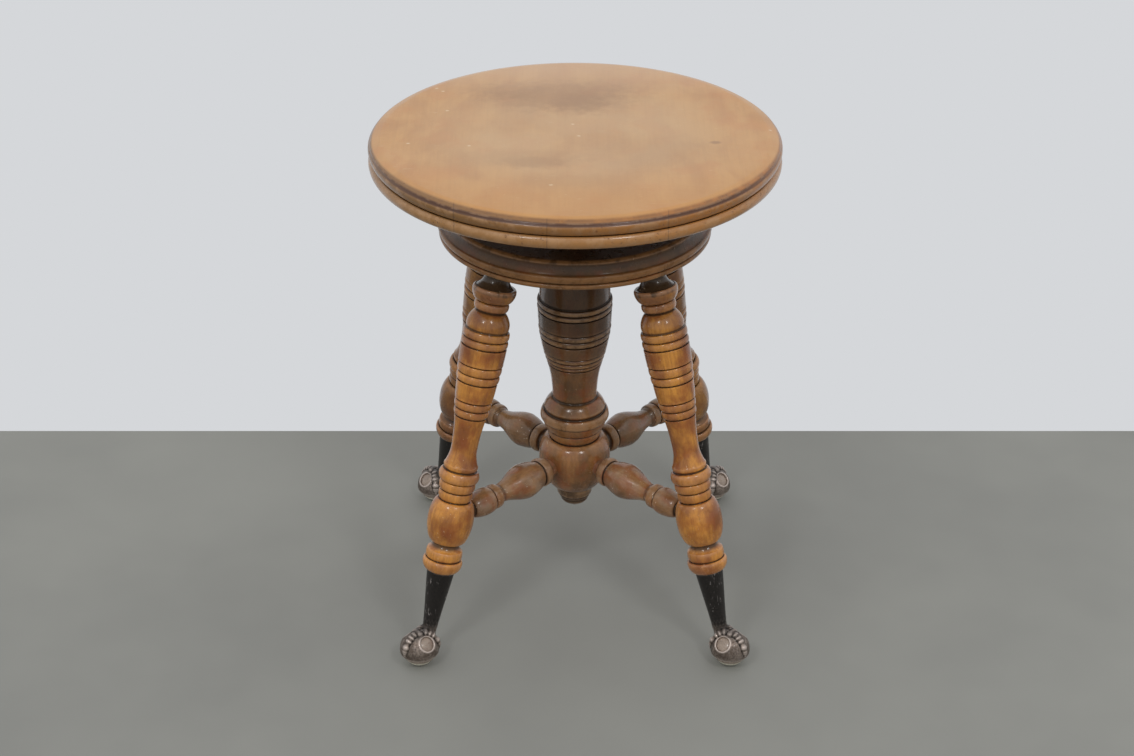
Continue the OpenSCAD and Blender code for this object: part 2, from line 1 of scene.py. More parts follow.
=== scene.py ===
"""Looks of a revolving piano stool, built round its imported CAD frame.

Mesh code works in millimetres, +Z up, and make_mesh() turns them into metres. Sizes repeat the
driving sizes of the CAD source, and everything else is worked out from them in the same way.
"""

import math

import bpy
import numpy as np
from mathutils import Euler, Matrix, Vector


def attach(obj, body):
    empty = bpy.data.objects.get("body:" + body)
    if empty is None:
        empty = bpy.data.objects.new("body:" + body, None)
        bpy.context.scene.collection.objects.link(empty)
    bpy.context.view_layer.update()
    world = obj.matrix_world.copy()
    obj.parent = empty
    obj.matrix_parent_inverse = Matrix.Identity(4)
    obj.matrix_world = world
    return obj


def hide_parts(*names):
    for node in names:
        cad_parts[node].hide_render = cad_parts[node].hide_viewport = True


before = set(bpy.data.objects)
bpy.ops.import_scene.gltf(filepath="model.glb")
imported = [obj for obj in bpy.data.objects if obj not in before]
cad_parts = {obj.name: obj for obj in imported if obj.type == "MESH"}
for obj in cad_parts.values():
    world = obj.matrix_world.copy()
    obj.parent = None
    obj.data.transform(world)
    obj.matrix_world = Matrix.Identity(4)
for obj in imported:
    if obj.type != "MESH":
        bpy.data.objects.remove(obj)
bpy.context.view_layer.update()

MM = 0.001
IMAGE_SIZE = (1134, 756)

# Driving sizes
STOOL_H = 454.4
SEAT_R, SEAT_T, SEAT_RIM_W = 177.8, 26, 11
DISC_R, DISC_T, DISC_RIM_W = 120, 25, 9
LEG_R, LEG_SPLAY, LEG_INSET, LEG_TENON_L = 20.4, 15.7, 29, 15
BALL_R, BALL_FLAT = 15.6, 0.2
ANKLE_REACH, ANKLE_R, ANKLE_TILT = 21.4, 6.1, 38
FERRULE_L, FERRULE_WALL, FERRULE_DEPTH_SHARE = 57, 1.7, 0.86
HOOD_T, WINDOW_R, TOE_R = 2, 6.6, 3
COLUMN_R, COLUMN_TENON_WALL = 33.4, 5.6
FINIAL_L, FINIAL_PEG_R, FINIAL_PEG_L = 21, 6, 14
STRETCHER_R, COLUMN_END_TENON_L, LEG_END_TENON_L = 16.2, 13, 14
SCREW_R, SCREW_PITCH, THREAD_DEPTH = 12.7, 6.35, 2.8
LIFT, THREAD_HOLD, THREAD_GAP = 101.6, 36, 0.35
NUT_BODY_L, NUT_WALL, NUT_SHOULDER_W, NUT_PROUD, NUT_LEAD = 38, 2.3, 2.5, 4, 0.8
PLATE_T, PLATE_SCREW_GAP, PLATE_EDGE_W = 4, 9, 9
WASHER_T, WASHER_W = 2.5, 7
SPIDER_T, SPIDER_REACH, SPIDER_LOBE_R, SPIDER_HUB_W = 5, 96, 11, 14
BOSS_H, BOSS_WALL, BOSS_FLARE_SHARE = 24.7, 5.2, 0.2
ARM_ROOT_SHARE, ARM_END_SHARE = 1.3, 0.8
WOOD_SCREW_L, WOOD_SCREW_R, SCREW_HEAD_R, SCREW_HEAD_H = 15, 2, 4.2, 2.52
NAIL_R, NAIL_L, NAIL_HEAD_R, NAIL_HEAD_H, NAIL_AT_SHARE = 0.9, 8, 2.2, 0.8, 0.16
PEG_FIT, RUN_GAP = 0.1, 0.2
SCREW_TIP, BORE_SPARE, BORE_GAP = 1.5, 6, 2

CORNERS = {"front_left": 225, "front_right": 315, "back_left": 135, "back_right": 45}

# Turned outlines: rows of place share, radius share, kind of stretch to there, swell share
LINE, BEAD, CURVE, EASE = range(4)
STRETCH_POINTS = (1, 28, 28, 36)
SEAT_RIM = (
    (0, 0, LINE, 0), (0.15, 0.86, CURVE, 0.16), (0.17, 0.80, LINE, 0), (0.55, 0.60, BEAD, 0.28),
    (1, 0.52, BEAD, 0.44),
)
DISC_RIM = (
    (0, 0.10, LINE, 0), (0.10, 0.38, CURVE, 0.08), (0.14, 0.38, LINE, 0),
    (0.45, 0.78, CURVE, -0.06), (0.76, 0.66, BEAD, 0.28), (0.97, 0.56, BEAD, 0.30),
    (1, 0.44, LINE, 0),
)
LEG = (
    (0, 0.549, LINE, 0), (0.045, 0.549, LINE, 0), (0.073, 0.81, CURVE, -0.05),
    (0.118, 0.645, BEAD, 0.18), (0.146, 0.63, BEAD, 0.095), (0.207, 0.915, CURVE, 0.11),
    (0.234, 0.92, BEAD, 0.075), (0.259, 0.92, BEAD, 0.075), (0.262, 0.98, LINE, 0),
    (0.314, 0.955, CURVE, 0.015), (0.317, 0.88, LINE, 0), (0.347, 0.855, BEAD, 0.08),
    (0.374, 0.815, BEAD, 0.08), (0.377, 0.87, LINE, 0), (0.432, 0.80, CURVE, 0.015),
    (0.435, 0.73, LINE, 0), (0.462, 0.69, BEAD, 0.075), (0.488, 0.64, BEAD, 0.075),
    (0.491, 0.685, LINE, 0), (0.580, 0.57, CURVE, -0.02), (0.645, 0.715, CURVE, -0.05),
    (0.663, 0.69, BEAD, 0.03), (0.700, 0.70, BEAD, 0.175), (0.731, 0.675, BEAD, 0.09),
    (0.763, 0.65, BEAD, 0.07), (0.905, 0.60, BEAD, 0.375), (0.913, 0.59, LINE, 0),
    (0.929, 0.725, CURVE, -0.02), (0.960, 0.735, BEAD, 0.06), (1, 0.617, BEAD, 0.175),
)
LEG_BALL_SHARE = 0.83
COLUMN = (
    (0, 0.88, LINE, 0), (0.027, 0.86, BEAD, 0.09), (0.035, 0.80, LINE, 0),
    (0.105, 0.77, CURVE, -0.03), (0.245, 0.955, CURVE, 0.05), (0.267, 0.955, BEAD, 0.045),
    (0.288, 0.955, BEAD, 0.045), (0.291, 0.99, LINE, 0), (0.342, 0.975, CURVE, 0.008),
    (0.345, 0.935, LINE, 0), (0.369, 0.92, BEAD, 0.045), (0.393, 0.89, BEAD, 0.045),
    (0.396, 0.925, LINE, 0), (0.441, 0.86, CURVE, 0.01), (0.444, 0.815, LINE, 0),
    (0.465, 0.77, BEAD, 0.042), (0.483, 0.735, BEAD, 0.038), (0.496, 0.715, BEAD, 0.03),
    (0.500, 0.735, LINE, 0), (0.610, 0.61, CURVE, -0.022), (0.632, 0.62, LINE, 0),
    (0.670, 0.83, CURVE, 0.03), (0.683, 0.83, LINE, 0), (0.720, 0.86, BEAD, 0.085),
    (0.758, 0.745, BEAD, 0.035), (0.795, 0.65, BEAD, 0.035), (1, 0.40, BEAD, 0.44),
)
COLUMN_BALL_SHARE, COLUMN_BALL_R_SHARE = 0.880, 0.985
FINIAL = (
    (0, 0.47, LINE, 0), (0.34, 0.45, BEAD, 0.025), (0.36, 0.41, LINE, 0),
    (0.52, 0.39, BEAD, 0.025), (0.94, 0.14, CURVE, 0.07), (1, 0.05, CURVE, 0.02),
)
STRETCHER = (
    (0, 0.525, LINE, 0), (0.05, 0.60, CURVE, -0.01), (0.06, 0.66, LINE, 0),
    (0.145, 0.71, BEAD, 0.13), (0.155, 0.76, LINE, 0), (0.315, 1, CURVE, 0.04),
    (0.62, 0.535, EASE, 0), (0.65, 0.60, LINE, 0), (0.735, 0.60, BEAD, 0.085),
    (0.965, 0.44, BEAD, 0.23), (1, 0.432, LINE, 0),
)
THREAD = (0.14, 0.28, 0.58, 0.72)
THREAD_FADE = 0.6

# Heights and places that follow from them
SEAT_BOTTOM_Z = STOOL_H - SEAT_T
SPIDER_BOTTOM_Z = SEAT_BOTTOM_Z - SPIDER_T
WASHER_Z = SPIDER_BOTTOM_Z - BOSS_H - RUN_GAP - WASHER_T
NUT_TOP_Z = WASHER_Z - RUN_GAP
PLATE_TOP_Z = NUT_TOP_Z - NUT_PROUD
DISC_TOP_Z = PLATE_TOP_Z - PLATE_T
DISC_Z = DISC_TOP_Z - DISC_T
BALL_Z = BALL_R - BALL_FLAT
SPLAY, TILT = math.radians(LEG_SPLAY), math.radians(ANKLE_TILT)
LEG_AXIS_L = (DISC_Z - BALL_Z - ANKLE_REACH * math.cos(TILT)) / math.cos(SPLAY)
LEG_L = LEG_AXIS_L - FERRULE_L
LEG_TOP_AT = DISC_R - LEG_INSET
LEG_END_R = LEG_R * LEG[-1][1]
BALL_AT = LEG_TOP_AT + LEG_AXIS_L * math.sin(SPLAY) + ANKLE_REACH * math.sin(TILT)
FERRULE_DEPTH = FERRULE_L * FERRULE_DEPTH_SHARE
FERRULE_MOUTH_R = LEG_END_R - FERRULE_WALL
FERRULE_DEPTH_R = FERRULE_MOUTH_R + (ANKLE_R - LEG_END_R) * FERRULE_DEPTH_SHARE
STRETCHER_Z = DISC_Z - LEG_L * LEG_BALL_SHARE * math.cos(SPLAY)
STRETCHER_START = COLUMN_R * COLUMN_BALL_R_SHARE
STRETCHER_END = LEG_TOP_AT + LEG_L * LEG_BALL_SHARE * math.sin(SPLAY) - LEG_R
COLUMN_L = (DISC_Z - STRETCHER_Z) / COLUMN_BALL_SHARE
COLUMN_BOTTOM_Z = DISC_Z - COLUMN_L
SCREW_BOTTOM_Z = NUT_TOP_Z - THREAD_HOLD - LIFT
NUT_BOTTOM_Z = DISC_TOP_Z - NUT_BODY_L
HEXAGON = 1 / math.cos(math.radians(30))
NUT_MOUTH_R = SCREW_R + THREAD_GAP
NUT_NECK_R = (NUT_MOUTH_R + NUT_WALL) * HEXAGON
NUT_BODY_R = (NUT_MOUTH_R + NUT_WALL + NUT_SHOULDER_W) * HEXAGON
COLUMN_TENON_R = NUT_BODY_R + PEG_FIT + COLUMN_TENON_WALL
PLATE_SCREW_AT = COLUMN_TENON_R + PLATE_SCREW_GAP
PLATE_R = PLATE_SCREW_AT + PLATE_EDGE_W
BOSS_R = SCREW_R + BOSS_WALL
SPIDER_HUB_R = BOSS_R + SPIDER_HUB_W
SPIDER_INNER_AT = (SPIDER_HUB_R + SPIDER_REACH) / 2


# ---------------------------------------------------------------- turned outlines

# How the relief of a turned piece is measured and thinned, in mm
FORM_SIGMA, GROOVE_SIGMA, GROOVE_FLOOR = 2.0, 1.2, 0.03
DIRT_AND_SHADE_SIGMA, DIRT_AND_SHADE_REACH, DIRT_AND_SHADE_GAIN, CREST_LOSS = 0.95, 2.4, 2.9, 14
OUTLINE_TOLERANCE, RELIEF_TOLERANCE, TINY = 0.008, 0.05, 1e-9


def turned(shares, start, length, base, radius):
    """Outline [place, radius] of a turned piece: the CAD source's curve with more points."""
    points = [(start, base + radius * shares[0][1])]
    for before, (at, r_share, kind, swell) in zip(shares, shares[1:]):
        a = (start + length * before[0], base + radius * before[1])
        b = (start + length * at, base + radius * r_share)
        for i in range(1, STRETCH_POINTS[kind] + 1):
            t = i / STRETCH_POINTS[kind]
            u = (1 - math.cos(math.pi * t)) / 2 if kind == BEAD else t
            v = (1 - math.cos(math.pi * u)) / 2 if kind == EASE else u
            out = radius * swell * math.sin(math.pi * t) if kind in (BEAD, CURVE) else 0
            points.append((a[0] + (b[0] - a[0]) * u, a[1] + (b[1] - a[1]) * v + out))
    return points


def evenly(points, step):
    """The line through the points, sampled at even steps."""
    points = np.asarray(points, float)
    along = np.concatenate([[0], np.cumsum(np.linalg.norm(np.diff(points, axis=0), axis=1))])
    count = max(2, int(along[-1] / step) + 1)
    at = np.linspace(0, along[-1], count)
    return np.stack([np.interp(at, along, points[:, k]) for k in (0, 1)], 1)


def softened(points, sigma, step, closed):
    """The sampled outline with its corners rounded. Open outlines start and end on the axis."""
    reach = int(4 * sigma / step) + 1
    kernel = np.exp(-0.5 * (np.arange(-reach, reach + 1) * step / sigma) ** 2)
    if closed:
        padded = np.concatenate([points[-reach:], points, points[:reach]])
    else:
        across = np.array([1, -1])
        padded = np.concatenate(
            [points[reach:0:-1] * across, points, points[-2:-reach - 2:-1] * across]
        )
    return np.stack([np.convolve(padded[:, k], kernel / kernel.sum(), "valid") for k in (0, 1)], 1)


def thinned(points, relief, longest):
    """Indices of the points that keep the outline and its relief within their tolerances."""
    keep, i = [0], 0
    while i < len(points) - 1:
        j = i + 1
        while j < len(points) - 1:
            chord = points[j + 1] - points[i]
            length = np.linalg.norm(chord)
            between = points[i + 1:j + 1] - points[i]
            off = np.abs(between[:, 0] * chord[1] - between[:, 1] * chord[0]) / max(length, TINY)
            share = np.arange(1, j - i + 1) / (j + 1 - i)
            uneven = np.abs(relief[i + 1:j + 1] - relief[i] - share * (relief[j + 1] - relief[i]))
            if length > longest or off.max() > OUTLINE_TOLERANCE or uneven.max() > RELIEF_TOLERANCE:
                break
            j += 1
        keep.append(j)
        i = j
    return keep


def lathe(outline, segments=96, closed=False, soft=0.28, longest=5, step=0.16, sink=1.5, swell=1.0):
    """Vertices, faces and relief of an outline [place along +Z, radius] turned about Z.

    Relief is how far a point stands out of the piece's general form: beads over 0, grooves under 0.
    Grooves are sunk and beads swollen further by these parts of their relief, and the relief of a
    sharp groove spreads over its edges, as the grime and painted shade laid on it do.
    """
    if closed:
        outline = list(outline) + [outline[0]]
    else:
        outline = [(outline[0][0], 0), *outline, (outline[-1][0], 0)]
    fine = evenly(outline, step)
    if closed:
        fine = fine[:-1]
    fine = softened(fine, soft, step, closed)
    along = np.gradient(fine, axis=0)
    along /= np.maximum(np.linalg.norm(along, axis=1), TINY)[:, None]

    def above(sigma):
        off = fine - softened(fine, sigma, step, closed)
        return off[:, 1] * along[:, 0] - off[:, 0] * along[:, 1]

    relief, groove = above(FORM_SIGMA), np.minimum(above(GROOVE_SIGMA) + GROOVE_FLOOR, 0)
    further = relief * np.where(relief < 0, sink, swell)
    fine = fine + np.stack([-along[:, 1] * further, along[:, 0] * further], 1)
    reach = int(DIRT_AND_SHADE_REACH / step)
    spread = np.exp(-0.5 * (np.arange(-reach, reach + 1) * step / DIRT_AND_SHADE_SIGMA) ** 2)
    groove = np.convolve(groove, spread / spread.sum(), "same")
    relief = np.maximum(relief, 0) * np.clip(1 + CREST_LOSS * groove, 0, 1) + DIRT_AND_SHADE_GAIN * groove
    keep = thinned(fine, relief, longest)
    rings, relief = fine[keep], relief[keep]
    angle = np.arange(segments) * (2 * math.pi / segments)
    if not closed:
        rings[0, 1] = rings[-1, 1] = 0
    verts = np.stack([
        np.outer(rings[:, 1], np.cos(angle)),
        np.outer(rings[:, 1], np.sin(angle)),
        np.repeat(rings[:, :1], segments, 1),
    ], -1).reshape(-1, 3)
    j, after = np.arange(segments), (np.arange(segments) + 1) % segments
    faces, count = [], len(rings)
    for i in range(count if closed else count - 1):
        low, high = i * segments, (i + 1) % count * segments
        if not closed and i == 0:
            faces += np.stack([np.zeros(segments, int), high + after, high + j], 1).tolist()
        elif not closed and i == count - 2:
            faces += np.stack([low + j, low + after, np.full(segments, high)], 1).tolist()
        else:
            faces += np.stack([low + j, low + after, high + after, high + j], 1).tolist()
    return verts, faces, np.repeat(relief, segments)


def threaded(before, thread, after, turns, closed=False, sides=72):
    """A skin of upright lines round Z: rows before and after a thread, and the thread's own rows.

    thread(turn, j) gives a row's radius and height at a place counted in turns, for each of the
    thread's points j. Rows past the ends fold onto them and are merged.
    """
    lines, per_turn = [], len(THREAD)
    for side in range(sides):
        rows = [*before]
        for turn in range(-1, turns + 1):
            rows += [thread(turn + side / sides, j) for j in range(per_turn)]
        rows += after
        a = 2 * math.pi * side / sides
        lines.append([(r * math.cos(a), r * math.sin(a), z) for r, z in rows])
    count, first, last = len(lines[0]), len(before), len(before) + per_turn * (turns + 2)
    faces = []
    for side in range(sides):
        low, high = side * count, (side + 1) % sides * count
        shift = per_turn if side == sides - 1 else 0
        for i in range(count if closed else count - 1):
            k = (i + 1) % count
            left, right = (low + i, low + k), (high + i, high + k)
            if first <= i < last - 1:
                if i + 1 + shift > last - 1:
                    right = (high + last - 1, high + last - 1)
                else:
                    right = (high + i + shift, high + k + shift)
            face = [left[0], right[0], right[1], left[1]]
            faces.append([v for n, v in enumerate(face) if v != face[n - 1]])
    if not closed:
        faces.append([side * count for side in reversed(range(sides))])
        faces.append([side * count + count - 1 for side in range(sides)])
    return np.array(lines).reshape(-1, 3), [f for f in faces if len(f) > 2]


# ---------------------------------------------------------------- cast shapes from distance fields

class Grid:
    """Even points in a box: their places x, y and z, and the net of a field measured there."""

    def __init__(self, low, high, step):
        self.low, self.step = np.array(low, float), step
        lines = [np.arange(a, b + step, step, dtype=np.float32) for a, b in zip(low, high)]
        self.x, self.y, self.z = self.place = np.meshgrid(*lines, indexing="ij")

    def net(self, field):
        """The surface where the field passes zero, as vertices and quads (surface nets)."""
        inside = field < 0
        shape = np.array(field.shape) - 1
        total = np.zeros((*shape, 3), np.float32)
        crossings = np.zeros(shape, np.int16)
        cuts = []
        for axis in range(3):
            n0, n1 = (tuple(ends if k == axis else slice(None) for k in range(3))
                      for ends in (slice(None, -1), slice(1, None)))
            cut = inside[n0] != inside[n1]
            cuts.append(cut)
            with np.errstate(divide="ignore", invalid="ignore"):
                t = np.where(cut, field[n0] / (field[n0] - field[n1]), 0).astype(np.float32)
            u, v = (k for k in range(3) if k != axis)
            for du, dv in ((0, 0), (0, 1), (1, 0), (1, 1)):
                part = [slice(None)] * 3
                part[u], part[v] = slice(du, du + shape[u]), slice(dv, dv + shape[v])
                part = tuple(part)
                crossings += cut[part]
                total[..., axis] += t[part]
                total[..., u] += cut[part] * du
                total[..., v] += cut[part] * dv
        active = crossings > 0
        index = np.full(shape, -1)
        index[active] = np.arange(active.sum())
        cells = np.argwhere(active)
        verts = (cells + total[active] / crossings[active][:, None]) * self.step + self.low
        faces = []
        for axis, cut in enumerate(cuts):
            a, b = (axis + 1) % 3, (axis + 2) % 3
            at = np.argwhere(cut)
            at = at[(at[:, a] > 0) & (at[:, b] > 0) & (at[:, a] < shape[a]) & (at[:, b] < shape[b])]
            corners = []
            for da, db in ((1, 1), (0, 1), (0, 0), (1, 0)):
                cell = at.copy()
                cell[:, a] -= da
                cell[:, b] -= db
                corners.append(index[tuple(cell.T)])
            quads = np.stack(corners, 1)
            outward = inside[tuple(at.T)]
            quads[outward] = quads[outward][:, ::-1]
            faces.append(quads)
        return verts, np.concatenate(faces)[:, ::-1]


def grid_round_axis(half, low, high, step):
    """A grid over half a width each way from Z, and two steps past the lowest and the highest."""
    return Grid((-half, -half, low - 2 * step), (half, half, high + 2 * step), step)


def cone(place, a, b, ra, rb, capped=False):
    """Distance from the places to a cone with round ends, or with flat ones."""
    axis = np.subtract(b, a)
    length = float(np.linalg.norm(axis))
    axis = axis / length
    from_a = [p - start for p, start in zip(place, a)]
    along = sum(p * part for p, part in zip(from_a, axis))
    t = np.clip(along, 0, length)
    if not capped:
        off = np.sqrt(sum((p - t * part) ** 2 for p, part in zip(from_a, axis)))
        return off - (ra + (rb - ra) * t / length)
    off = np.sqrt(np.maximum(sum(p ** 2 for p in from_a) - along ** 2, 0))
    side = off - (ra + (rb - ra) * t / length)
    return np.maximum(side, np.maximum(-along, along - length))


def joined(a, b, k):
    """Union of two fields with a fillet of about k."""
    h = np.clip(0.5 + 0.5 * (b - a) / k, 0, 1)
    return b + (a - b) * h - k * h * (1 - h)


def carved(a, b, k):
    """Field a without field b, its edges softened over about k."""
    return -joined(-a, b, k)


def slab(plan, z, z0, z1, r):
    """A plan field made solid from z0 to z1, with edges rounded by r."""
    up = np.abs(z - (z0 + z1) / 2) - (z1 - z0) / 2 + r
    out = plan + r
    return np.minimum(np.maximum(up, out), 0) + np.hypot(np.maximum(up, 0), np.maximum(out, 0)) - r


def polar(degrees, r=1.0):
    """Point at a distance and an angle above +X, in the XZ plane."""
    return np.array([r * math.cos(math.radians(degrees)), 0, r * math.sin(math.radians(degrees))])


# Claw foot: angles in degrees round the ball, sizes in mm or shares of the toes' radius
TOE_AZIMUTHS, TOE_TOP, TOE_END = (0, 140, -140), 80, 12
TOE_SEAT_SHARE, TOE_SLIM, TOE_TAPER, TOE_FLATTEN = 0.35, 0.90, 0.06, 1.06
KNUCKLES, KNUCKLE_SWELL = ((71, 4.6), (59, 4.6), (47, 4.8), (27, 7.5)), 0.36
TALON_RUNS, TALON_RADII, TALON_TURN = (1.045, 0.95), (0.80, 0.52, 0.20), 50
CUTICLE_RADII, TOE_FILLETS = (1.08, 0.98), (0.5, 0.4, 0.35, 0.45)
HOOD_EDGE, HOOD_FILLET = -12, 0.8
WINDOW_AZIMUTHS, WINDOW_LIFT = (85, -85), 42
LIP_OUT, LIP_UP, LIP_R, LIP_FILLET = 1.4, 1.5, 0.1, 1.3
NECK_SHARES, NECK_FILLET = (1.30, 1.04), 2.2
WRIST_AT, WRIST_UP, WRIST_HALF, WRIST_R, WRIST_FILLET = 84, 1.6, 3.0, 2.9, 0.9
TUFTS, LOCK_L, LOCK_DEPTH, LOCK_TWIST, LOCK_AT, LOCK_SPREAD = 7, 5.5, 0.42, 0.55, 3, 60
SOCKET_FILLET, BORE_EDGE, WINDOW_EDGE, BORE_OVER = 1.2, 0.3, 0.5, 2
FAR, BEHIND_TOE = 99, -4


def claw_field(g):
    """The claw foot round its ball's centre, +X outward: socket, ankle, hood and three toes."""
    ankle = polar(90 + ANKLE_TILT, ANKLE_REACH)
    up = polar(90 + LEG_SPLAY)
    from_ball = np.sqrt(g.x ** 2 + g.y ** 2 + g.z ** 2)

    # Hood: a shell down to its edge, with a raised lip round each window
    hood = from_ball - BALL_R - HOOD_T
    latitude = np.degrees(np.arctan2(g.z, np.hypot(g.x, g.y)))
    edge = np.radians(HOOD_EDGE - latitude) * BALL_R
    field = carved(hood, -edge, HOOD_FILLET)
    windows = []
    for azimuth in WINDOW_AZIMUTHS:
        lift = math.radians(WINDOW_LIFT)
        out = Vector((math.cos(lift), 0, math.sin(lift)))
        out.rotate(Euler((0, 0, math.radians(azimuth))))
        toward = g.x * out.x + g.y * out.y + g.z * out.z
        off = np.sqrt(np.maximum(from_ball ** 2 - toward ** 2, 0)) + np.where(toward < 0, FAR, 0)
        windows.append(off - WINDOW_R)
        lip = np.hypot(off - WINDOW_R - LIP_OUT, from_ball - BALL_R - LIP_UP) - LIP_R
        field = joined(field, lip, LIP_FILLET)

    # Toes: bent fingers whose radius swells at the knuckles, each with a hooked talon
    arc_r = BALL_R + TOE_R * TOE_SEAT_SHARE
    root = polar(TOE_END, arc_r)
    bend = root + polar(TOE_END - 90, TOE_R * TALON_RUNS[0])
    tip = bend + polar(TOE_END - 90 - TALON_TURN, TOE_R * TALON_RUNS[1])
    for azimuth in TOE_AZIMUTHS:
        c, s = math.cos(math.radians(azimuth)), math.sin(math.radians(azimuth))
        out, across = g.x * c + g.y * s, g.y * c - g.x * s
        place = (out, across, g.z)
        angle = np.clip(np.degrees(np.arctan2(g.z, out)), TOE_END, TOE_TOP)
        angle = np.where(out < BEHIND_TOE, TOE_TOP, angle)
        r = TOE_R * (TOE_SLIM + TOE_TAPER * (angle - TOE_END) / (TOE_TOP - TOE_END))
        for knuckle, width in KNUCKLES:
            r = r + TOE_R * KNUCKLE_SWELL * np.exp(-((angle - knuckle) / width) ** 2)
        turn = np.radians(angle)
        off = (out - arc_r * np.cos(turn), g.z - arc_r * np.sin(turn))
        toe = np.sqrt(off[0] ** 2 + off[1] ** 2 + (across * TOE_FLATTEN) ** 2) - r
        thick, middle, thin = (TOE_R * share for share in TALON_RADII)
        talon = joined(
            cone(place, root, bend, thick, middle), cone(place, bend, tip, middle, thin), TOE_FILLETS[0]
        )
        cuticle = cone(
            place, root + polar(TOE_END + 90), root, *(TOE_R * share for share in CUTICLE_RADII)
        )
        toe = joined(joined(toe, cuticle, TOE_FILLETS[1]), talon, TOE_FILLETS[2])
        field = joined(field, toe, TOE_FILLETS[3])

    # Ankle: it narrows from the hood to the socket, with a fold of skin and tufts across it
    foot = polar(90 + ANKLE_TILT, BALL_R)
    neck = cone(g.place, foot, ankle, *(ANKLE_R * share for share in NECK_SHARES))
    field = joined(field, neck, NECK_FILLET)
    wrist, half = polar(WRIST_AT, BALL_R + WRIST_UP), np.array([0, WRIST_HALF, 0])
    fold = cone(g.place, wrist - half, wrist + half, WRIST_R, WRIST_R)
    field = joined(field, fold, WRIST_FILLET)
    px, pz = g.x - ankle[0], g.z - ankle[2]
    up_leg = px * up[0] + pz * up[2]
    around = np.arctan2(g.y, px * up[2] - pz * up[0])
    top = ankle + up * FERRULE_L
    socket = cone(g.place, ankle, top, ANKLE_R, LEG_END_R, capped=True)
    tuft = np.abs(((around * TUFTS / math.pi + np.floor(up_leg / LOCK_L) * 0.5) % 1) - 0.5) * 2
    lock = (up_leg / LOCK_L + tuft * LOCK_TWIST) % 1
    fur = LOCK_DEPTH * lock * np.exp(-(up_leg - LOCK_AT) ** 2 / LOCK_SPREAD)
    field = joined(field, socket - fur, SOCKET_FILLET)

    # The leg's end is cut out of it, then the windows and the ball
    inner_r = ANKLE_R + (LEG_END_R - ANKLE_R) * (1 - FERRULE_DEPTH_SHARE) - FERRULE_WALL
    bottom = ankle + up * (FERRULE_L - FERRULE_DEPTH)
    mouth_r = FERRULE_MOUTH_R + (FERRULE_MOUTH_R - inner_r) / FERRULE_DEPTH * BORE_OVER
    bore = cone(g.place, bottom, top + up * BORE_OVER, inner_r, mouth_r, capped=True)
    field = carved(field, bore, BORE_EDGE)
    for window in windows:
        field = carved(field, window, WINDOW_EDGE)
    return np.maximum(field, BALL_R + PEG_FIT - from_ball)


# Spider, plate and wood screws: softened edges and small forms, in mm
LOBE_FILLET, HUB_FILLET, BOSS_FILLET, SPIDER_EDGE, BOSS_EDGE, BOSS_OVER = 3, 5, 3.5, 1.1, 0.7, 2
PLATE_EDGE, HEXAGON_EDGE = 0.9, 0.4
SCREW_POINT_L, SLOT_HALF, SLOT_DEPTH, SLOT_EDGE = 5, 0.55, 1.2, 0.15


def folded(g):
    """Coordinates along and across the nearest of the four arms on the X and Y axes."""
    ax, ay = np.abs(g.x), np.abs(g.y)
    return np.maximum(ax, ay), np.minimum(ax, ay)


def countersink(u, v, at, z, face):
    """Hole for a screw at a distance along an arm, its head flush with the face at its height."""
    off = np.hypot(u - at, v)
    taper = (SCREW_HEAD_R - WOOD_SCREW_R) / SCREW_HEAD_H
    head = (off - SCREW_HEAD_R + np.abs(z - face) * taper) / math.hypot(1, taper)
    return np.minimum(head, off - WOOD_SCREW_R) - PEG_FIT


def spider_field(g):
    """The cast spider, z = 0 at its arms' underside."""
    u, v = folded(g)
    root, end = SPIDER_LOBE_R * ARM_ROOT_SHARE, SPIDER_LOBE_R * ARM_END_SHARE
    arm = np.maximum(v - (root + (end - root) * np.clip(u / SPIDER_REACH, 0, 1)), u - SPIDER_REACH)
    lobe = np.hypot(u - SPIDER_REACH, v) - SPIDER_LOBE_R
    hub = np.hypot(u, v) - SPIDER_HUB_R
    plan = joined(joined(arm, lobe, LOBE_FILLET), hub, HUB_FILLET)
    field = slab(plan, g.z, 0, SPIDER_T, SPIDER_EDGE)
    flare_r = BOSS_R + BOSS_H * BOSS_FLARE_SHARE
    boss = cone(g.place, (0, 0, -BOSS_H), (0, 0, BOSS_OVER), BOSS_R, flare_r, capped=True)
    field = joined(field, boss, BOSS_FILLET)
    field = carved(field, np.hypot(g.x, g.y) - SCREW_R - PEG_FIT, BOSS_EDGE)
    for at in (SPIDER_INNER_AT, SPIDER_REACH):
        field = np.maximum(field, -countersink(u, v, at, g.z, 0))
    return field


def plate_field(g):
    """The nut's holding plate, z = 0 at its underside."""
    u, v = folded(g)
    field = slab(np.hypot(g.x, g.y) - PLATE_R, g.z, 0, PLATE_T, PLATE_EDGE)
    hexagon = np.maximum(
        np.abs(g.y), np.abs(g.y) / 2 + np.abs(g.x) * math.sqrt(3) / 2
    ) - NUT_NECK_R / HEXAGON - PEG_FIT
    field = carved(field, hexagon, HEXAGON_EDGE)
    return np.maximum(field, -countersink(u, v, PLATE_SCREW_AT, g.z, PLATE_T))


def wood_screw_field(g):
    """A slotted countersunk screw pointing along +Z, z = 0 at its head's face."""
    off = np.hypot(g.x, g.y)
    taper = (SCREW_HEAD_R - WOOD_SCREW_R) / SCREW_HEAD_H
    head = (off - SCREW_HEAD_R + g.z * taper) / math.hypot(1, taper)
    tip = np.clip((WOOD_SCREW_L - g.z) / SCREW_POINT_L - 1, -1, 0) * WOOD_SCREW_R
    shank = off - WOOD_SCREW_R - tip
    field = np.maximum(np.minimum(head, shank), -g.z)
    field = np.maximum(field, g.z - WOOD_SCREW_L)
    slot = np.maximum(np.abs(g.y) - SLOT_HALF, g.z - SLOT_DEPTH)
    return carved(field, slot, SLOT_EDGE)


# ---------------------------------------------------------------- materials

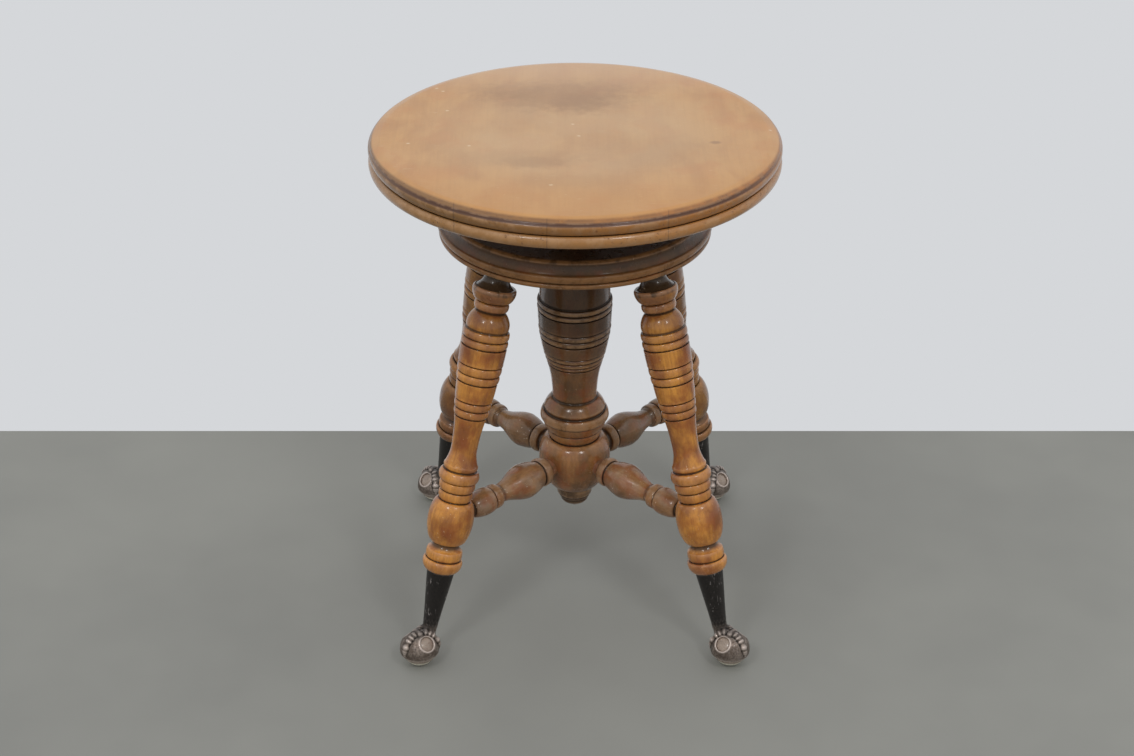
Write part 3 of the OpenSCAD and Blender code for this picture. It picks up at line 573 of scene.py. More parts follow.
def srgb(red, green, blue):
    """A colour as a picture shows it, 0 to 255, as a shader takes it."""
    def linear(c):
        c /= 255
        return c / 12.92 if c <= 0.04045 else ((c + 0.055) / 1.055) ** 2.4
    return (linear(red), linear(green), linear(blue), 1)


def darker(colour, share):
    return (*(share * c for c in colour[:3]), 1)


class Paint:
    """Short calls that build one material's nodes. Its base colour is laid on in layers."""

    def __init__(self, name, **settings):
        self.material = bpy.data.materials.new(name)
        self.material.use_nodes = True
        self.tree = self.material.node_tree
        self.shader = self.tree.nodes["Principled BSDF"]
        for key, value in settings.items():
            self.shader.inputs[key.replace("_", " ")].default_value = value
        self.place = self.add("ShaderNodeTexCoord").outputs["Object"]
        self.colour = None

    def feed(self, socket, value):
        if isinstance(value, bpy.types.NodeSocket):
            self.tree.links.new(value, socket)
        else:
            socket.default_value = value

    def add(self, kind, inputs=(), **settings):
        node = self.tree.nodes.new(kind)
        for key, value in settings.items():
            setattr(node, key, value)
        for key, value in dict(inputs).items():
            self.feed(node.inputs[key], value)
        return node

    def math(self, operation, a, b=0.0, clamp=False):
        node = self.add("ShaderNodeMath", {0: a, 1: b}, operation=operation, use_clamp=clamp)
        return node.outputs[0]

    def chain(self, operation, values, clamp=False):
        """One number from all the values, by the operation between each and the next."""
        first, *others = values
        for other in others:
            first = self.math(operation, first, other, clamp)
        return first

    def times(self, *values):
        return self.chain("MULTIPLY", values)

    def plus(self, *values, clamp=False):
        return self.chain("ADD", values, clamp)

    def most(self, *values):
        return self.chain("MAXIMUM", values)

    def vector(self, operation, a, b=(0, 0, 0), output="Vector"):
        return self.add("ShaderNodeVectorMath", {0: a, 1: b}, operation=operation).outputs[output]

    def mix(self, factor, a, b):
        return self.add("ShaderNodeMix", {0: factor, 6: a, 7: b}, data_type="RGBA").outputs[2]

    def layer(self, colour, *factors):
        """Lays a colour over the base colour, as strongly as the factors' product."""
        self.colour = self.mix(self.times(*factors), self.colour, colour)

    def span(self, value, low, high, to_low=0.0, to_high=1.0):
        """The value's way from low to high, eased, as a number from to_low to to_high."""
        node = self.add(
            "ShaderNodeMapRange",
            {0: value, 1: low, 2: high, 3: to_low, 4: to_high}, interpolation_type="SMOOTHSTEP"
        )
        return node.outputs[0]

    def noise(self, size, detail=3.0, rough=0.55, stretch=(1, 1, 1), distort=0.0):
        """Noise with features of about the size in mm, drawn out by the stretch along each axis."""
        scaled = self.vector("MULTIPLY", self.place, tuple(1 / (s * size * MM) for s in stretch))
        node = self.add(
            "ShaderNodeTexNoise",
            {"Vector": scaled, "Scale": 1.0, "Detail": detail, "Roughness": rough,
             "Distortion": distort},
        )
        return node.outputs[0]

    def axes(self):
        return self.add("ShaderNodeSeparateXYZ", {0: self.place}).outputs

    def attribute(self, name, kind="GEOMETRY"):
        node = self.add("ShaderNodeAttribute", attribute_name=name, attribute_type=kind)
        return node.outputs["Fac"]

    def seeded(self):
        """Moves the place by the object's own number, so that twins don't share a pattern."""
        seed = self.attribute("seed", "OBJECT")
        shift = self.add("ShaderNodeCombineXYZ", {0: seed, 1: seed, 2: seed}).outputs[0]
        self.place = self.vector("ADD", self.place, shift)

    def blob(self, centre, size, ragged=0.35, detail=9.0):
        """1 inside an uneven patch of the top view, fading to 0 round it. Sizes in mm."""
        off = self.vector("SUBTRACT", self.place, (centre[0] * MM, centre[1] * MM, 0))
        off = self.vector("MULTIPLY", off, (1 / (size[0] * MM), 1 / (size[1] * MM), 0))
        reach = self.vector("LENGTH", off, output="Value")
        uneven = self.times(self.math("SUBTRACT", self.noise(detail), 0.5), ragged * 2)
        return self.span(self.plus(reach, uneven), 1.15, 0.35)

    def finished(self, rough, *bumps):
        """The material, with its roughness, and bumps that are pairs of a height and mm of depth."""
        normal = None
        for height, depth in bumps:
            inputs = {"Height": height, "Distance": depth * MM, "Strength": 1.0}
            if normal is not None:
                inputs["Normal"] = normal
            normal = self.add("ShaderNodeBump", inputs).outputs[0]
        for name, value in (("Base Color", self.colour), ("Roughness", rough), ("Normal", normal)):
            self.feed(self.shader.inputs[name], value)
        return self.material


def turned_wood(name, pale, deep, groove, crest, scuff, scuffs, gloss, shade_end=0, shade_reach=0, coat=0.6,
                grain_along=(0, 0, 1)):
    """Stained and varnished turned wood: grooves dark with grime and painted shade, bead crests rubbed
    and lit with a painted highlight, and scuffs.

    The first part of the length, given in mm by shade_end, is painted nearly black, as the shade
    under the part above, and painted shade darkens a longer first part given by shade_reach.
    """
    def drawn(share):
        return tuple(share if along else 1 for along in grain_along)

    p = Paint(name, Specular_IOR_Level=0.22, Coat_Weight=coat, Coat_Roughness=0.14)
    length = p.axes()[2]
    p.seeded()
    relief = p.attribute("relief")
    mottle = p.noise(26, 4, 0.6, drawn(1.7))
    rings = p.noise(2.4, 3, 0.6, drawn(26), 0.4)
    grain = p.noise(0.55, 3, 0.65, drawn(42))
    pores = p.noise(0.35, 2, 0.5, drawn(11))
    blotch = p.noise(9, 5, 0.62)
    p.colour = p.mix(p.span(mottle, 0.34, 0.66), deep, pale)
    p.layer(deep, p.span(rings, 0.40, 0.62, 0, 0.30))
    p.layer(groove, p.span(grain, 0.50, 0.70, 0, 0.20))
    p.layer(groove, p.span(pores, 0.63, 0.72, 0, 0.32))
    p.layer(srgb(146, 74, 38), p.span(p.noise(13, 3), 0.44, 0.62), p.span(relief, 0.40, -0.10), 0.5)
    # Painted shade: the wood under the part above is darker over a first part of the length
    if shade_reach:
        near = p.span(length, shade_reach * MM, 0.3 * shade_reach * MM, 0, 0.4 if shade_end else 0.8)
        p.layer(srgb(58, 44, 32), near)
    if scuffs > 1:
        p.layer(scuff, p.span(p.noise(19, 4), 0.46, 0.66, 0, 0.12))
    # Pieces behind are painted darker by their own share, as shade and grime
    p.layer(srgb(80, 64, 42), p.attribute("stain_and_shade", "OBJECT"))
    # Painted shade: the end under the part above is nearly black
    if shade_end:
        uneven = p.plus(length, p.times(blotch, 2 * MM))
        p.layer(srgb(54, 45, 32), p.span(uneven, (shade_end + 2) * MM, shade_end * MM), 0.9)
    # Bead crests are paler: rubbed wear and a painted highlight
    p.layer(crest, p.span(relief, 0.05, 0.42), p.span(blotch, 0.34, 0.58, 0.2, 1), 0.62)
    # Grooves are dark with grime and painted shade
    dirt_and_shade = p.span(p.plus(p.times(relief, -3.4), p.times(blotch, 0.4)), 0.24, 1.25)
    p.layer(groove, dirt_and_shade, 0.86)
    scratch = p.noise(0.8, 2, 0.5, (1, 9, 3), 0.5)
    specks = p.noise(1.3, 2, 0.6)
    marks = p.most(p.span(scratch, 0.69, 0.74), p.span(specks, 0.72, 0.76))
    marks = p.times(marks, p.span(p.noise(17, 3), 0.47, 0.66), scuffs)
    p.layer(scuff, marks)
    rough = p.span(blotch, 0.3, 0.7, gloss - 0.07, gloss + 0.10)
    rough = p.plus(rough, p.times(dirt_and_shade, 0.25), p.times(marks, 0.3), clamp=True)
    return p.finished(rough, (grain, 0.05), (pores, -0.05), (p.noise(5, 3), 0.22), (marks, -0.04))


def seat_wood():
    """The seat: boards run front to back under an old hazy varnish, with a dark moulded edge.

    In the seat's own frame y grows towards the front, and z from the top down.
    """
    honey, deep, pale = srgb(200, 152, 96), srgb(186, 136, 84), srgb(194, 164, 130)
    smoke, dark, groove = srgb(138, 100, 70), srgb(104, 68, 38), srgb(58, 34, 18)
    p = Paint("seat_wood", Specular_IOR_Level=0.4, Coat_Weight=0.45, Coat_Roughness=0.14)
    x, y, z = p.axes()
    radius = p.vector("LENGTH", p.vector("MULTIPLY", p.place, (1, 1, 0)), output="Value")
    relief = p.attribute("relief")

    # Boards differ a little from each other, and the figure in them is faint
    boards = p.add("ShaderNodeValToRGB", {0: p.span(x, -0.18, 0.18)})
    ramp = boards.color_ramp
    ramp.interpolation = "CONSTANT"
    for at in (0.19, 0.43, 0.72):
        ramp.elements.new(at)
    for board, shade in zip(ramp.elements, (0.49, 0.53, 0.48, 0.54, 0.54)):
        board.color = (shade, shade, shade, 1)
    figure = p.noise(34, 4, 0.5, (1, 2, 1), 0.6)
    rings = p.noise(3.4, 4, 0.6, (1, 22, 3), 0.5)
    grain = p.noise(0.6, 3, 0.6, (1, 30, 2))
    broad = p.noise(62, 4, 0.5)
    blotch = p.noise(11, 5, 0.62)
    tone = p.plus(p.times(figure, 0.5), p.times(boards.outputs[0], 0.5))
    p.colour = p.mix(p.span(tone, 0.40, 0.60), deep, honey)
    p.layer(dark, p.span(rings, 0.42, 0.66, 0, 0.06))
    p.layer(dark, p.span(grain, 0.52, 0.72, 0, 0.05))
    p.layer(srgb(190, 122, 66), p.span(p.noise(48, 5, 0.6), 0.48, 0.64, 0, 0.30))

    # The middle is greyer and paler, with smoky patches, the back is paler and the front warmer
    worn = p.times(p.span(radius, 0.165, 0.07), p.span(broad, 0.36, 0.60, 0.55, 1))
    p.layer(pale, worn, 0.55)
    for centre, size, strength in (
        ((-14, -88), (80, 44), 0.40), ((6, -70), (30, 30), 0.30), ((-58, -100), (44, 26), 0.18),
        ((40, -112), (52, 22), 0.14), ((-35, 60), (34, 14), 0.22), ((-6, 98), (50, 18), 0.14),
        ((-44, 52), (60, 24), 0.16), ((119, 18), (6, 4), 0.55), ((70, 40), (70, 44), 0.12),
    ):
        p.layer(smoke, p.blob(centre, size), strength)
    p.layer(srgb(204, 172, 142), p.span(y, -0.08, -0.17, 0, 0.6))
    p.layer(srgb(192, 136, 68), p.span(y, 0.06, 0.15, 0, 0.5))

    # Scuffs and flecks where the finish is gone
    flecks = p.most(*(p.blob(centre, (1.9, 1.4), 0.5, 1.6) for centre in (
        (-124, -105), (-118, -98), (-112, -53), (-2, -22), (3, 4), (168, -9), (-90, 25),
        (-20, 106), (-142, 20)
    )))
    dust = p.times(p.span(p.noise(0.9, 2), 0.70, 0.76), p.span(p.noise(40), 0.50, 0.68))
    scratch = p.span(p.noise(0.7, 2, 0.5, (10, 1.6, 1), 0.8), 0.68, 0.74)
    scratch = p.times(scratch, p.span(p.noise(34, 2), 0.46, 0.62))
    flecks = p.most(flecks, p.times(p.most(dust, scratch), 0.5))
    p.layer(srgb(222, 200, 168), flecks, 0.75)

    # The moulded edge is darker: olive to the left, warm to the right, its coves dark with grime and
    # painted shade, and a band of painted shade and staining under its roll
    edge = p.mix(p.span(x, -0.12, 0.12), srgb(128, 92, 50), srgb(168, 108, 48))
    edge = p.mix(p.span(blotch, 0.36, 0.64, 0, 0.6), edge, srgb(112, 74, 40))
    edge = p.mix(p.span(z, 14.0 * MM, 15.5 * MM, 0, 0.45), edge, srgb(186, 138, 88))
    end_grain = p.times(p.span(p.math("ABSOLUTE", y), 0.06, 0.17), 0.3)
    edge = p.mix(p.times(p.span(p.noise(0.6, 3, 0.6, (1, 1, 9)), 0.5, 0.72), end_grain), edge, dark)
    # Painted shade with some staining: a dark band under the edge's roll, mostly at the front; away
    # from the front the edge's colour starts lower down the roll
    front = p.span(y, 0, 0.14, 0.15, 1)
    spared = p.times(p.math("SUBTRACT", 1.0, front), 1.8 * MM)
    rim = p.span(p.math("SUBTRACT", z, spared), 0.5 * MM, 1.6 * MM)
    p.layer(edge, rim, 0.92)
    lip = p.times(p.span(z, 2.2 * MM, 3.4 * MM), p.span(z, 6.0 * MM, 4.8 * MM))
    p.layer(srgb(72, 36, 14), lip, front, 0.95)
    # Bead crests are paler: rubbed wear and a painted highlight
    rubbed = p.times(p.span(relief, 0.10, 0.40), p.span(blotch, 0.44, 0.62))
    p.layer(srgb(206, 164, 122), rubbed, rim, 0.35)
    # Coves are dark with grime and painted shade
    dirt_and_shade = p.plus(p.times(relief, -4.5), p.times(blotch, 0.5))
    dirt_and_shade = p.times(p.span(dirt_and_shade, 0.34, 1.20), rim)
    p.layer(groove, dirt_and_shade, 0.85)
    chips = p.times(p.span(p.noise(2.2, 3), 0.60, 0.68), p.span(p.noise(24), 0.45, 0.6))
    chips = p.times(chips, rim, p.span(relief, -0.05, 0.1))
    p.layer(srgb(92, 50, 28), chips, 0.6)

    # Glue joints between the boards show on the edge
    joints = p.most(*(
        p.span(p.math("ABSOLUTE", p.math("SUBTRACT", x, at * MM)), 0.55 * MM, 0.15 * MM)
        for at in (-98, -23, 74)
    ))
    joints = p.times(joints, rim)
    p.layer(groove, joints, 0.35)

    # The underside was never varnished
    under = p.span(z, (SEAT_T - 1.2) * MM, (SEAT_T - 0.2) * MM)
    p.layer(p.mix(p.span(rings, 0.35, 0.65), srgb(140, 104, 68), srgb(108, 78, 50)), under)
    rough = p.plus(
        p.span(broad, 0.3, 0.7, 0.36, 0.48), p.times(rim, -0.12), p.times(worn, 0.10),
        p.times(p.plus(dirt_and_shade, flecks), 0.2), p.times(under, 0.3), clamp=True
    )
    return p.finished(
        rough, (grain, 0.03), (p.noise(14, 4), 0.35), (joints, -0.15), (flecks, -0.08), (chips, -0.25)
    )


def cast_iron():
    """Old cast iron: a fine sandy skin, rubbed high places, dark hollows and a little rust."""
    iron = srgb(50, 45, 40)
    p = Paint("cast_iron", Specular_IOR_Level=0.5)
    p.seeded()
    coarse, fine, sand = p.noise(9, 4), p.noise(1.6, 4, 0.6), p.noise(0.35, 3, 0.6)
    relief = p.attribute("relief")
    p.colour = p.mix(p.span(fine, 0.36, 0.64), iron, darker(iron, 0.62))
    rub = p.times(p.span(relief, 0, 0.35), p.span(coarse, 0.30, 0.55, 0.35, 1))
    p.layer(srgb(104, 94, 84), rub)
    p.layer(srgb(78, 52, 36), p.span(coarse, 0.52, 0.70), p.span(fine, 0.45, 0.60), 0.30)
    p.layer(darker(iron, 0.35), p.span(relief, -0.02, -0.30), 0.5)
    p.feed(p.shader.inputs["Metallic"], p.span(rub, 0, 1, 0.45, 0.7))
    rough = p.plus(p.span(fine, 0.3, 0.7, 0.40, 0.60), p.times(rub, -0.12), clamp=True)
    return p.finished(rough, (coarse, 0.20), (fine, 0.14), (sand, 0.05))


def bright_steel(name, tint, dirt_and_shade, gloss, grooves=(6, 6, 1)):
    """Machined steel: fine marks from the cutting, stains, and old grease in the hollows."""
    p = Paint(name, Specular_IOR_Level=0.5)
    p.seeded()
    lines = p.noise(0.25, 3, 0.6, grooves)
    stain_and_shade, spots = p.noise(6, 4), p.noise(1.1, 3, 0.6)
    p.colour = p.mix(p.span(stain_and_shade, 0.35, 0.65), tint, darker(tint, 0.7))
    grime = p.most(p.span(p.attribute("relief"), 0.05, -0.35), p.span(spots, 0.58, 0.70))
    p.layer(dirt_and_shade, grime, 0.75)
    p.feed(p.shader.inputs["Metallic"], p.span(grime, 0, 1, 0.95, 0.4))
    rough = p.span(stain_and_shade, 0.3, 0.7, gloss - 0.06, gloss + 0.14)
    rough = p.plus(rough, p.span(spots, 0.5, 0.7, 0, 0.12))
    return p.finished(rough, (lines, 0.02), (spots, 0.04))


def leather():
    """The pressed washer: dark oiled leather with a fine grain and paler folds."""
    p = Paint("washer_leather", Specular_IOR_Level=0.4, Sheen_Weight=0.1)
    in_mm = p.vector("MULTIPLY", p.place, (1 / MM, 1 / MM, 1 / MM))
    cells = p.add("ShaderNodeTexVoronoi", {"Vector": in_mm, "Scale": 1.1}).outputs[0]
    fold, oil = p.noise(2.5, 4), p.noise(7, 3)
    oiled = p.mix(p.span(oil, 0.35, 0.65), srgb(92, 58, 36), srgb(58, 36, 24))
    p.colour = p.mix(p.span(cells, 0.1, 0.6, 0, 0.4), srgb(34, 22, 16), oiled)
    p.layer(srgb(120, 84, 56), p.span(fold, 0.5, 0.66, 0, 0.4))
    return p.finished(p.span(oil, 0.3, 0.7, 0.48, 0.72), (cells, 0.12), (fold, 0.18))


def glass():
    """Pressed glass, grey and cloudy, with dust on it, seeds in it and its foot painted pale, as light
    through the glass.
    """
    p = Paint("ball_glass", IOR=1.5, Transmission_Weight=0.15, Coat_Weight=0.3, Coat_Roughness=0.16)
    height = p.axes()[2]
    p.seeded()
    cloud, seeds, dust = p.noise(7, 3), p.noise(0.7, 2), p.noise(2.2, 4, 0.65)
    p.colour = p.mix(p.span(cloud, 0.35, 0.65), srgb(152, 134, 122), srgb(174, 156, 142))
    p.layer(srgb(140, 128, 118), p.span(dust, 0.46, 0.68, 0, 0.65))
    p.layer(srgb(240, 240, 232), p.span(seeds, 0.68, 0.74, 0, 0.5))
    # The foot is painted pale, as light shining through the glass
    p.layer(srgb(252, 248, 228), p.span(height, -7 * MM, -9.5 * MM))
    return p.finished(p.span(dust, 0.35, 0.65, 0.20, 0.50), (cloud, 0.12), (dust, 0.03))


def claw_iron():
    """The claw foot: near-black japanned socket, its lower part rubbed down to the bronze."""
    p = Paint("claw_iron", Specular_IOR_Level=0.5)
    height = p.axes()[2]
    p.seeded()
    coarse, fine, sand = p.noise(8, 4), p.noise(1.5, 4, 0.6), p.noise(0.4, 3, 0.6)
    relief = p.attribute("relief")
    high, low = p.span(relief, 0.03, 0.28), p.span(relief, -0.02, -0.22)
    black = p.mix(p.span(fine, 0.36, 0.64), srgb(24, 21, 20), srgb(36, 32, 30))
    bronze = p.mix(p.span(coarse, 0.36, 0.64), srgb(106, 93, 84), srgb(150, 137, 128))
    bronze = p.mix(p.span(fine, 0.42, 0.66, 0, 0.6), bronze, srgb(54, 44, 38))
    level = p.plus(height, p.times(p.math("SUBTRACT", coarse, 0.5), 12 * MM))
    bare = p.span(level, 24 * MM, 12 * MM)
    p.colour = p.mix(bare, black, bronze)
    # High places are paler: rubbed bare, and lit with a painted highlight
    p.layer(srgb(214, 200, 192), high, p.span(bare, 0, 1, 0.18, 0.8))
    p.layer(srgb(20, 16, 15), low, 0.9)
    # The lowest part is painted dark, as shade near the floor
    p.layer(srgb(34, 28, 26), p.span(level, -7 * MM, -12 * MM), 0.7)
    scratch = p.span(p.noise(1.3, 2, 0.5, (1, 1, 6), 0.9), 0.60, 0.68)
    scratch = p.times(scratch, p.span(p.noise(11, 2), 0.50, 0.60))
    p.layer(srgb(156, 150, 148), scratch, 0.7)
    p.feed(p.shader.inputs["Metallic"], p.span(bare, 0, 1, 0.25, 0.62))
    rough = p.plus(p.span(fine, 0.3, 0.7, 0.30, 0.46), p.times(low, 0.25), clamp=True)
    return p.finished(rough, (coarse, 0.30), (fine, 0.12), (sand, 0.04), (scratch, -0.05))


# ---------------------------------------------------------------- pieces

def make_mesh(name, material, verts, faces, relief=None):
    """A mesh in metres from vertices in millimetres. Vertices that no face uses are left out."""
    used = np.zeros(len(verts), bool)
    for face in faces:
        used[face] = True
    number = np.cumsum(used) - 1
    mesh = bpy.data.meshes.new(name)
    mesh.from_pydata((verts[used] * MM).tolist(), [], [number[face].tolist() for face in faces])
    mesh.validate()
    mesh.shade_smooth()
    if relief is None:
        relief = np.zeros(len(verts))
    mesh.attributes.new("relief", "FLOAT", "POINT").data.foreach_set(
        "value", relief[used].astype(np.float32))
    mesh.materials.append(material)
    return mesh


# A cast mesh is relaxed by a share of the way to its neighbours' average, for a few passes. Its
# relief is the height over a broader relaxed one, with passes enough for the same reach in mm.
RELAX_SHARE, RELAX_PASSES = 0.5, 2
BROAD_SHARE, BROAD_REACH, BROAD_LEAST_PASSES = 0.6, 4.4, 4


def cast_mesh(name, material, grid, field):
    """A mesh of a distance field, relaxed a little, with relief from how it bends."""
    verts, faces = grid.net(field)
    start, end = np.concatenate([faces[:, [k, (k + 1) % 4]] for k in range(4)]).T

    def gathered(at, values):
        """For every vertex, the sum of the values that are at it."""
        return np.stack([np.bincount(at, v, minlength=len(verts)) for v in values.T], 1)

    count = np.maximum(np.bincount(start, minlength=len(verts)), 1)[:, None]

    def relaxed(values, share, passes):
        for _ in range(passes):
            values = values + share * (gathered(start, values[end]) / count - values)
        return values

    verts = relaxed(verts, RELAX_SHARE, RELAX_PASSES)
    passes = max(BROAD_LEAST_PASSES, round(BROAD_REACH / grid.step ** 2))
    a, b, c, d = (verts[faces[:, k]] for k in range(4))
    across = np.cross(c - a, d - b)
    normal = sum(gathered(faces[:, k], across) for k in range(4))
    normal /= np.maximum(np.linalg.norm(normal, axis=1), TINY)[:, None]
    relief = ((verts - relaxed(verts, BROAD_SHARE, passes)) * normal).sum(1)
    return make_mesh(name, material, verts, faces, relief)


def show(node, way, mesh, matrix=None, body="base", seed=0.0, stain_and_shade=0.0):
    """Puts a mesh in the scene, riding on a body, in place of a CAD node."""
    piece = bpy.data.objects.new(f"{node}_{way}", mesh)
    bpy.context.scene.collection.objects.link(piece)
    if matrix is not None:
        piece.matrix_world = matrix
    piece["seed"] = seed
    piece["stain_and_shade"] = stain_and_shade
    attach(piece, body)
    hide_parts(node)


def move(x=0.0, y=0.0, z=0.0):
    return Matrix.Translation((x * MM, y * MM, z * MM))


def turn(axis, degrees):
    return Matrix.Rotation(math.radians(degrees), 4, axis)


def on_leg(azimuth):
    """A leg's axis: the origin at the disc's underside, +Z down the leg."""
    return turn("Z", azimuth) @ move(LEG_TOP_AT, 0, DISC_Z) @ turn("Y", 180 - LEG_SPLAY)


def on_ball(azimuth):
    return turn("Z", azimuth) @ move(BALL_AT, 0, BALL_Z)


def on_stretcher(azimuth):
    return turn("Z", azimuth) @ move(0, 0, STRETCHER_Z) @ turn("Y", 90)


# Turns a piece over whose outline runs down from its top
DOWN = turn("X", 180)

LEG_WOOD = turned_wood(
    "leg_wood", srgb(218, 150, 66), srgb(138, 82, 42), srgb(62, 42, 24), srgb(196, 140, 98),
    srgb(226, 198, 160), 0.8, 0.30, shade_end=25, shade_reach=96
)
DARK_WOOD = turned_wood(
    "dark_wood", srgb(164, 114, 68), srgb(108, 76, 46), srgb(46, 34, 22), srgb(186, 146, 106),
    srgb(214, 188, 158), 0.8, 0.28, shade_reach=205
)
DISC_WOOD = turned_wood(
    "disc_wood", srgb(152, 104, 58), srgb(108, 74, 42), srgb(52, 38, 22), srgb(160, 114, 70),
    srgb(206, 178, 146), 0.6, 0.30, shade_reach=15, coat=0.3, grain_along=(1, 0, 0)
)
STRETCHER_WOOD = turned_wood(
    "stretcher_wood", srgb(164, 122, 82), srgb(112, 80, 54), srgb(58, 42, 30), srgb(178, 140, 104),
    srgb(232, 218, 200), 1.6, 0.30
)
SEAT_WOOD, CLAW_IRON, CAST_IRON, LEATHER, GLASS = (
    seat_wood(), claw_iron(), cast_iron(), leather(), glass()
)
THREAD_STEEL = bright_steel(
    "thread_steel", srgb(150, 146, 140), srgb(52, 42, 34), 0.28, grooves=(8, 8, 0.6)
)
SCREW_STEEL = bright_steel("screw_steel", srgb(132, 126, 118), srgb(58, 44, 34), 0.36)

# Seat: its face dips unevenly, by up to six times this depth in mm. Three waves add up, whose
# lengths along X and Y are 2 pi times these, and the dip fades out over a band at the edge.
DIP, DIP_BAND, DIP_X, DIP_Y = 0.06, 25, (38, 47, 56), (46, 53, 60)
flat_r, middle_r = SEAT_R - SEAT_RIM_W, 20
verts, faces, relief = lathe(
    [(0, middle_r), *turned(SEAT_RIM, 0, SEAT_T, flat_r, SEAT_RIM_W)], segments=288, soft=0.8,
    swell=0
)
waves = np.random.default_rng(3).uniform(0, 2 * math.pi, 6)
dip = sum(
    np.cos(verts[:, 0] / DIP_X[n] + waves[n]) * np.cos(verts[:, 1] / DIP_Y[n] + waves[n + 3])
    for n in range(len(DIP_X))
)
from_axis = np.hypot(verts[:, 0], verts[:, 1])
face = (verts[:, 2] < 1) & (from_axis < flat_r - 2)
verts[face, 2] += DIP * (len(DIP_X) + dip[face]) * np.clip((flat_r - from_axis[face]) / DIP_BAND, 0, 1)
mesh = make_mesh("seat_top", SEAT_WOOD, verts, faces, relief)
show("seat_top", "wood", mesh, move(z=STOOL_H) @ DOWN, "seat")

# Spider and its screws
grid = grid_round_axis(half=108.5, low=-BOSS_H, high=SPIDER_T, step=0.7)
mesh = cast_mesh("seat_spider", CAST_IRON, grid, spider_field(grid))
show("seat_spider", "cast", mesh, move(z=SPIDER_BOTTOM_Z), "seat", 0.3)

grid = grid_round_axis(half=4.8, low=0, high=WOOD_SCREW_L, step=0.3)
screw_verts, screw_faces = grid.net(wood_screw_field(grid))


def screws(node, distances, z, up, body):
    """A node's wood screws as one mesh, on four arms, pointing up or down, each turned its way."""
    places = [
        (c * at, s * at, z) for c, s in ((1, 0), (0, 1), (-1, 0), (0, -1)) for at in distances
    ]
    rng = np.random.default_rng(len(places))
    x, y, z = screw_verts.T
    verts, faces = [], []
    for n, place in enumerate(places):
        angle = rng.uniform(0, math.pi)
        c, s = math.cos(angle), math.sin(angle)
        verts.append(np.stack([x * c - y * s, (x * s + y * c) * up, z * up], 1) + place)
        faces.append(screw_faces + n * len(screw_verts))
    mesh = make_mesh(node, SCREW_STEEL, np.concatenate(verts), np.concatenate(faces))
    show(node, "slotted", mesh, body=body, seed=0.7)


screws("spider_screws", (SPIDER_INNER_AT, SPIDER_REACH), SPIDER_BOTTOM_Z, 1, "seat")
screws("plate_screws", (PLATE_SCREW_AT,), PLATE_TOP_Z, -1, "base")

# Lifting screw and nut share the thread's pitch
SHARP_ANGLE = math.radians(32)
screw_root = SCREW_R - THREAD_DEPTH
screw_turns = int((NUT_TOP_Z - SCREW_TIP - SCREW_BOTTOM_Z) / SCREW_PITCH - THREAD[3])


def screw_thread(at, j):
    crest = j in (1, 2)
    rise = np.clip(min(at - 1 + THREAD_FADE, screw_turns - 1 + THREAD_FADE - at) / THREAD_FADE, 0, 1)
    low, high = SCREW_BOTTOM_Z, SCREW_BOTTOM_Z + SCREW_PITCH * (screw_turns + THREAD[0])
    z = SCREW_BOTTOM_Z + SCREW_PITCH * (at + THREAD[j])
    inside = low < z < high
    return (screw_root + THREAD_DEPTH * crest * rise * inside, min(max(z, low), high))


verts, faces = threaded(
    [(screw_root - SCREW_TIP, SCREW_BOTTOM_Z - SCREW_TIP)], screw_thread,
    [(screw_root, NUT_TOP_Z - SCREW_TIP), (SCREW_R - 0.3, NUT_TOP_Z - 0.3), (SCREW_R, NUT_TOP_Z + 0.3),
     (SCREW_R, SEAT_BOTTOM_Z - PEG_FIT - 0.4), (SCREW_R - 0.4, SEAT_BOTTOM_Z - PEG_FIT)],
    screw_turns
)
depth = np.hypot(verts[:, 0], verts[:, 1]) - SCREW_R + 0.6
mesh = make_mesh("lift_screw", THREAD_STEEL, verts, faces, np.clip(depth, -1, 0.2))
mesh.set_sharp_from_angle(angle=SHARP_ANGLE)
show("lift_screw", "turned", mesh, body="seat", seed=0.2)

# Column: bored for the screw and the nut, its outline runs from the bore's end round to the peg hole
bore_r, bore_end = SCREW_R + BORE_GAP, SCREW_BOTTOM_Z - BORE_SPARE
recess_r, recess_end = NUT_BODY_R + PEG_FIT, NUT_BOTTOM_Z - PEG_FIT
peg_r, peg_end = FINIAL_PEG_R + PEG_FIT, FINIAL_PEG_L + PEG_FIT
mesh = make_mesh("centre_column", DARK_WOOD, *lathe([
    (DISC_Z - bore_end, bore_r), (DISC_Z - recess_end, bore_r), (DISC_Z - recess_end, recess_r),
    (-DISC_T, recess_r), (-DISC_T, COLUMN_TENON_R), (0, COLUMN_TENON_R),
    *turned(COLUMN, 0, COLUMN_L, 0, COLUMN_R),
    (COLUMN_L, peg_r), (COLUMN_L - peg_end, peg_r),
], segments=144))
show("centre_column", "turned", mesh, move(z=DISC_Z) @ DOWN, seed=0.1)

mesh = make_mesh("column_finial", DARK_WOOD, *lathe([
    (-FINIAL_PEG_L, FINIAL_PEG_R), (0, FINIAL_PEG_R), *turned(FINIAL, 0, FINIAL_L, 0, COLUMN_R)
]))
show("column_finial", "turned", mesh, move(z=COLUMN_BOTTOM_Z) @ DOWN, seed=0.5)

hole_r = COLUMN_TENON_R + PEG_FIT
rim = turned(DISC_RIM, 0, DISC_T, DISC_R - DISC_RIM_W, DISC_RIM_W)
mesh = make_mesh("platform_disc", DISC_WOOD, *lathe(
    [(0, hole_r), *rim, (DISC_T, hole_r)], segments=192, closed=True, soft=0.55, sink=0.2, swell=0
))
show("platform_disc", "turned", mesh, move(z=DISC_TOP_Z) @ DOWN, seed=0.9)

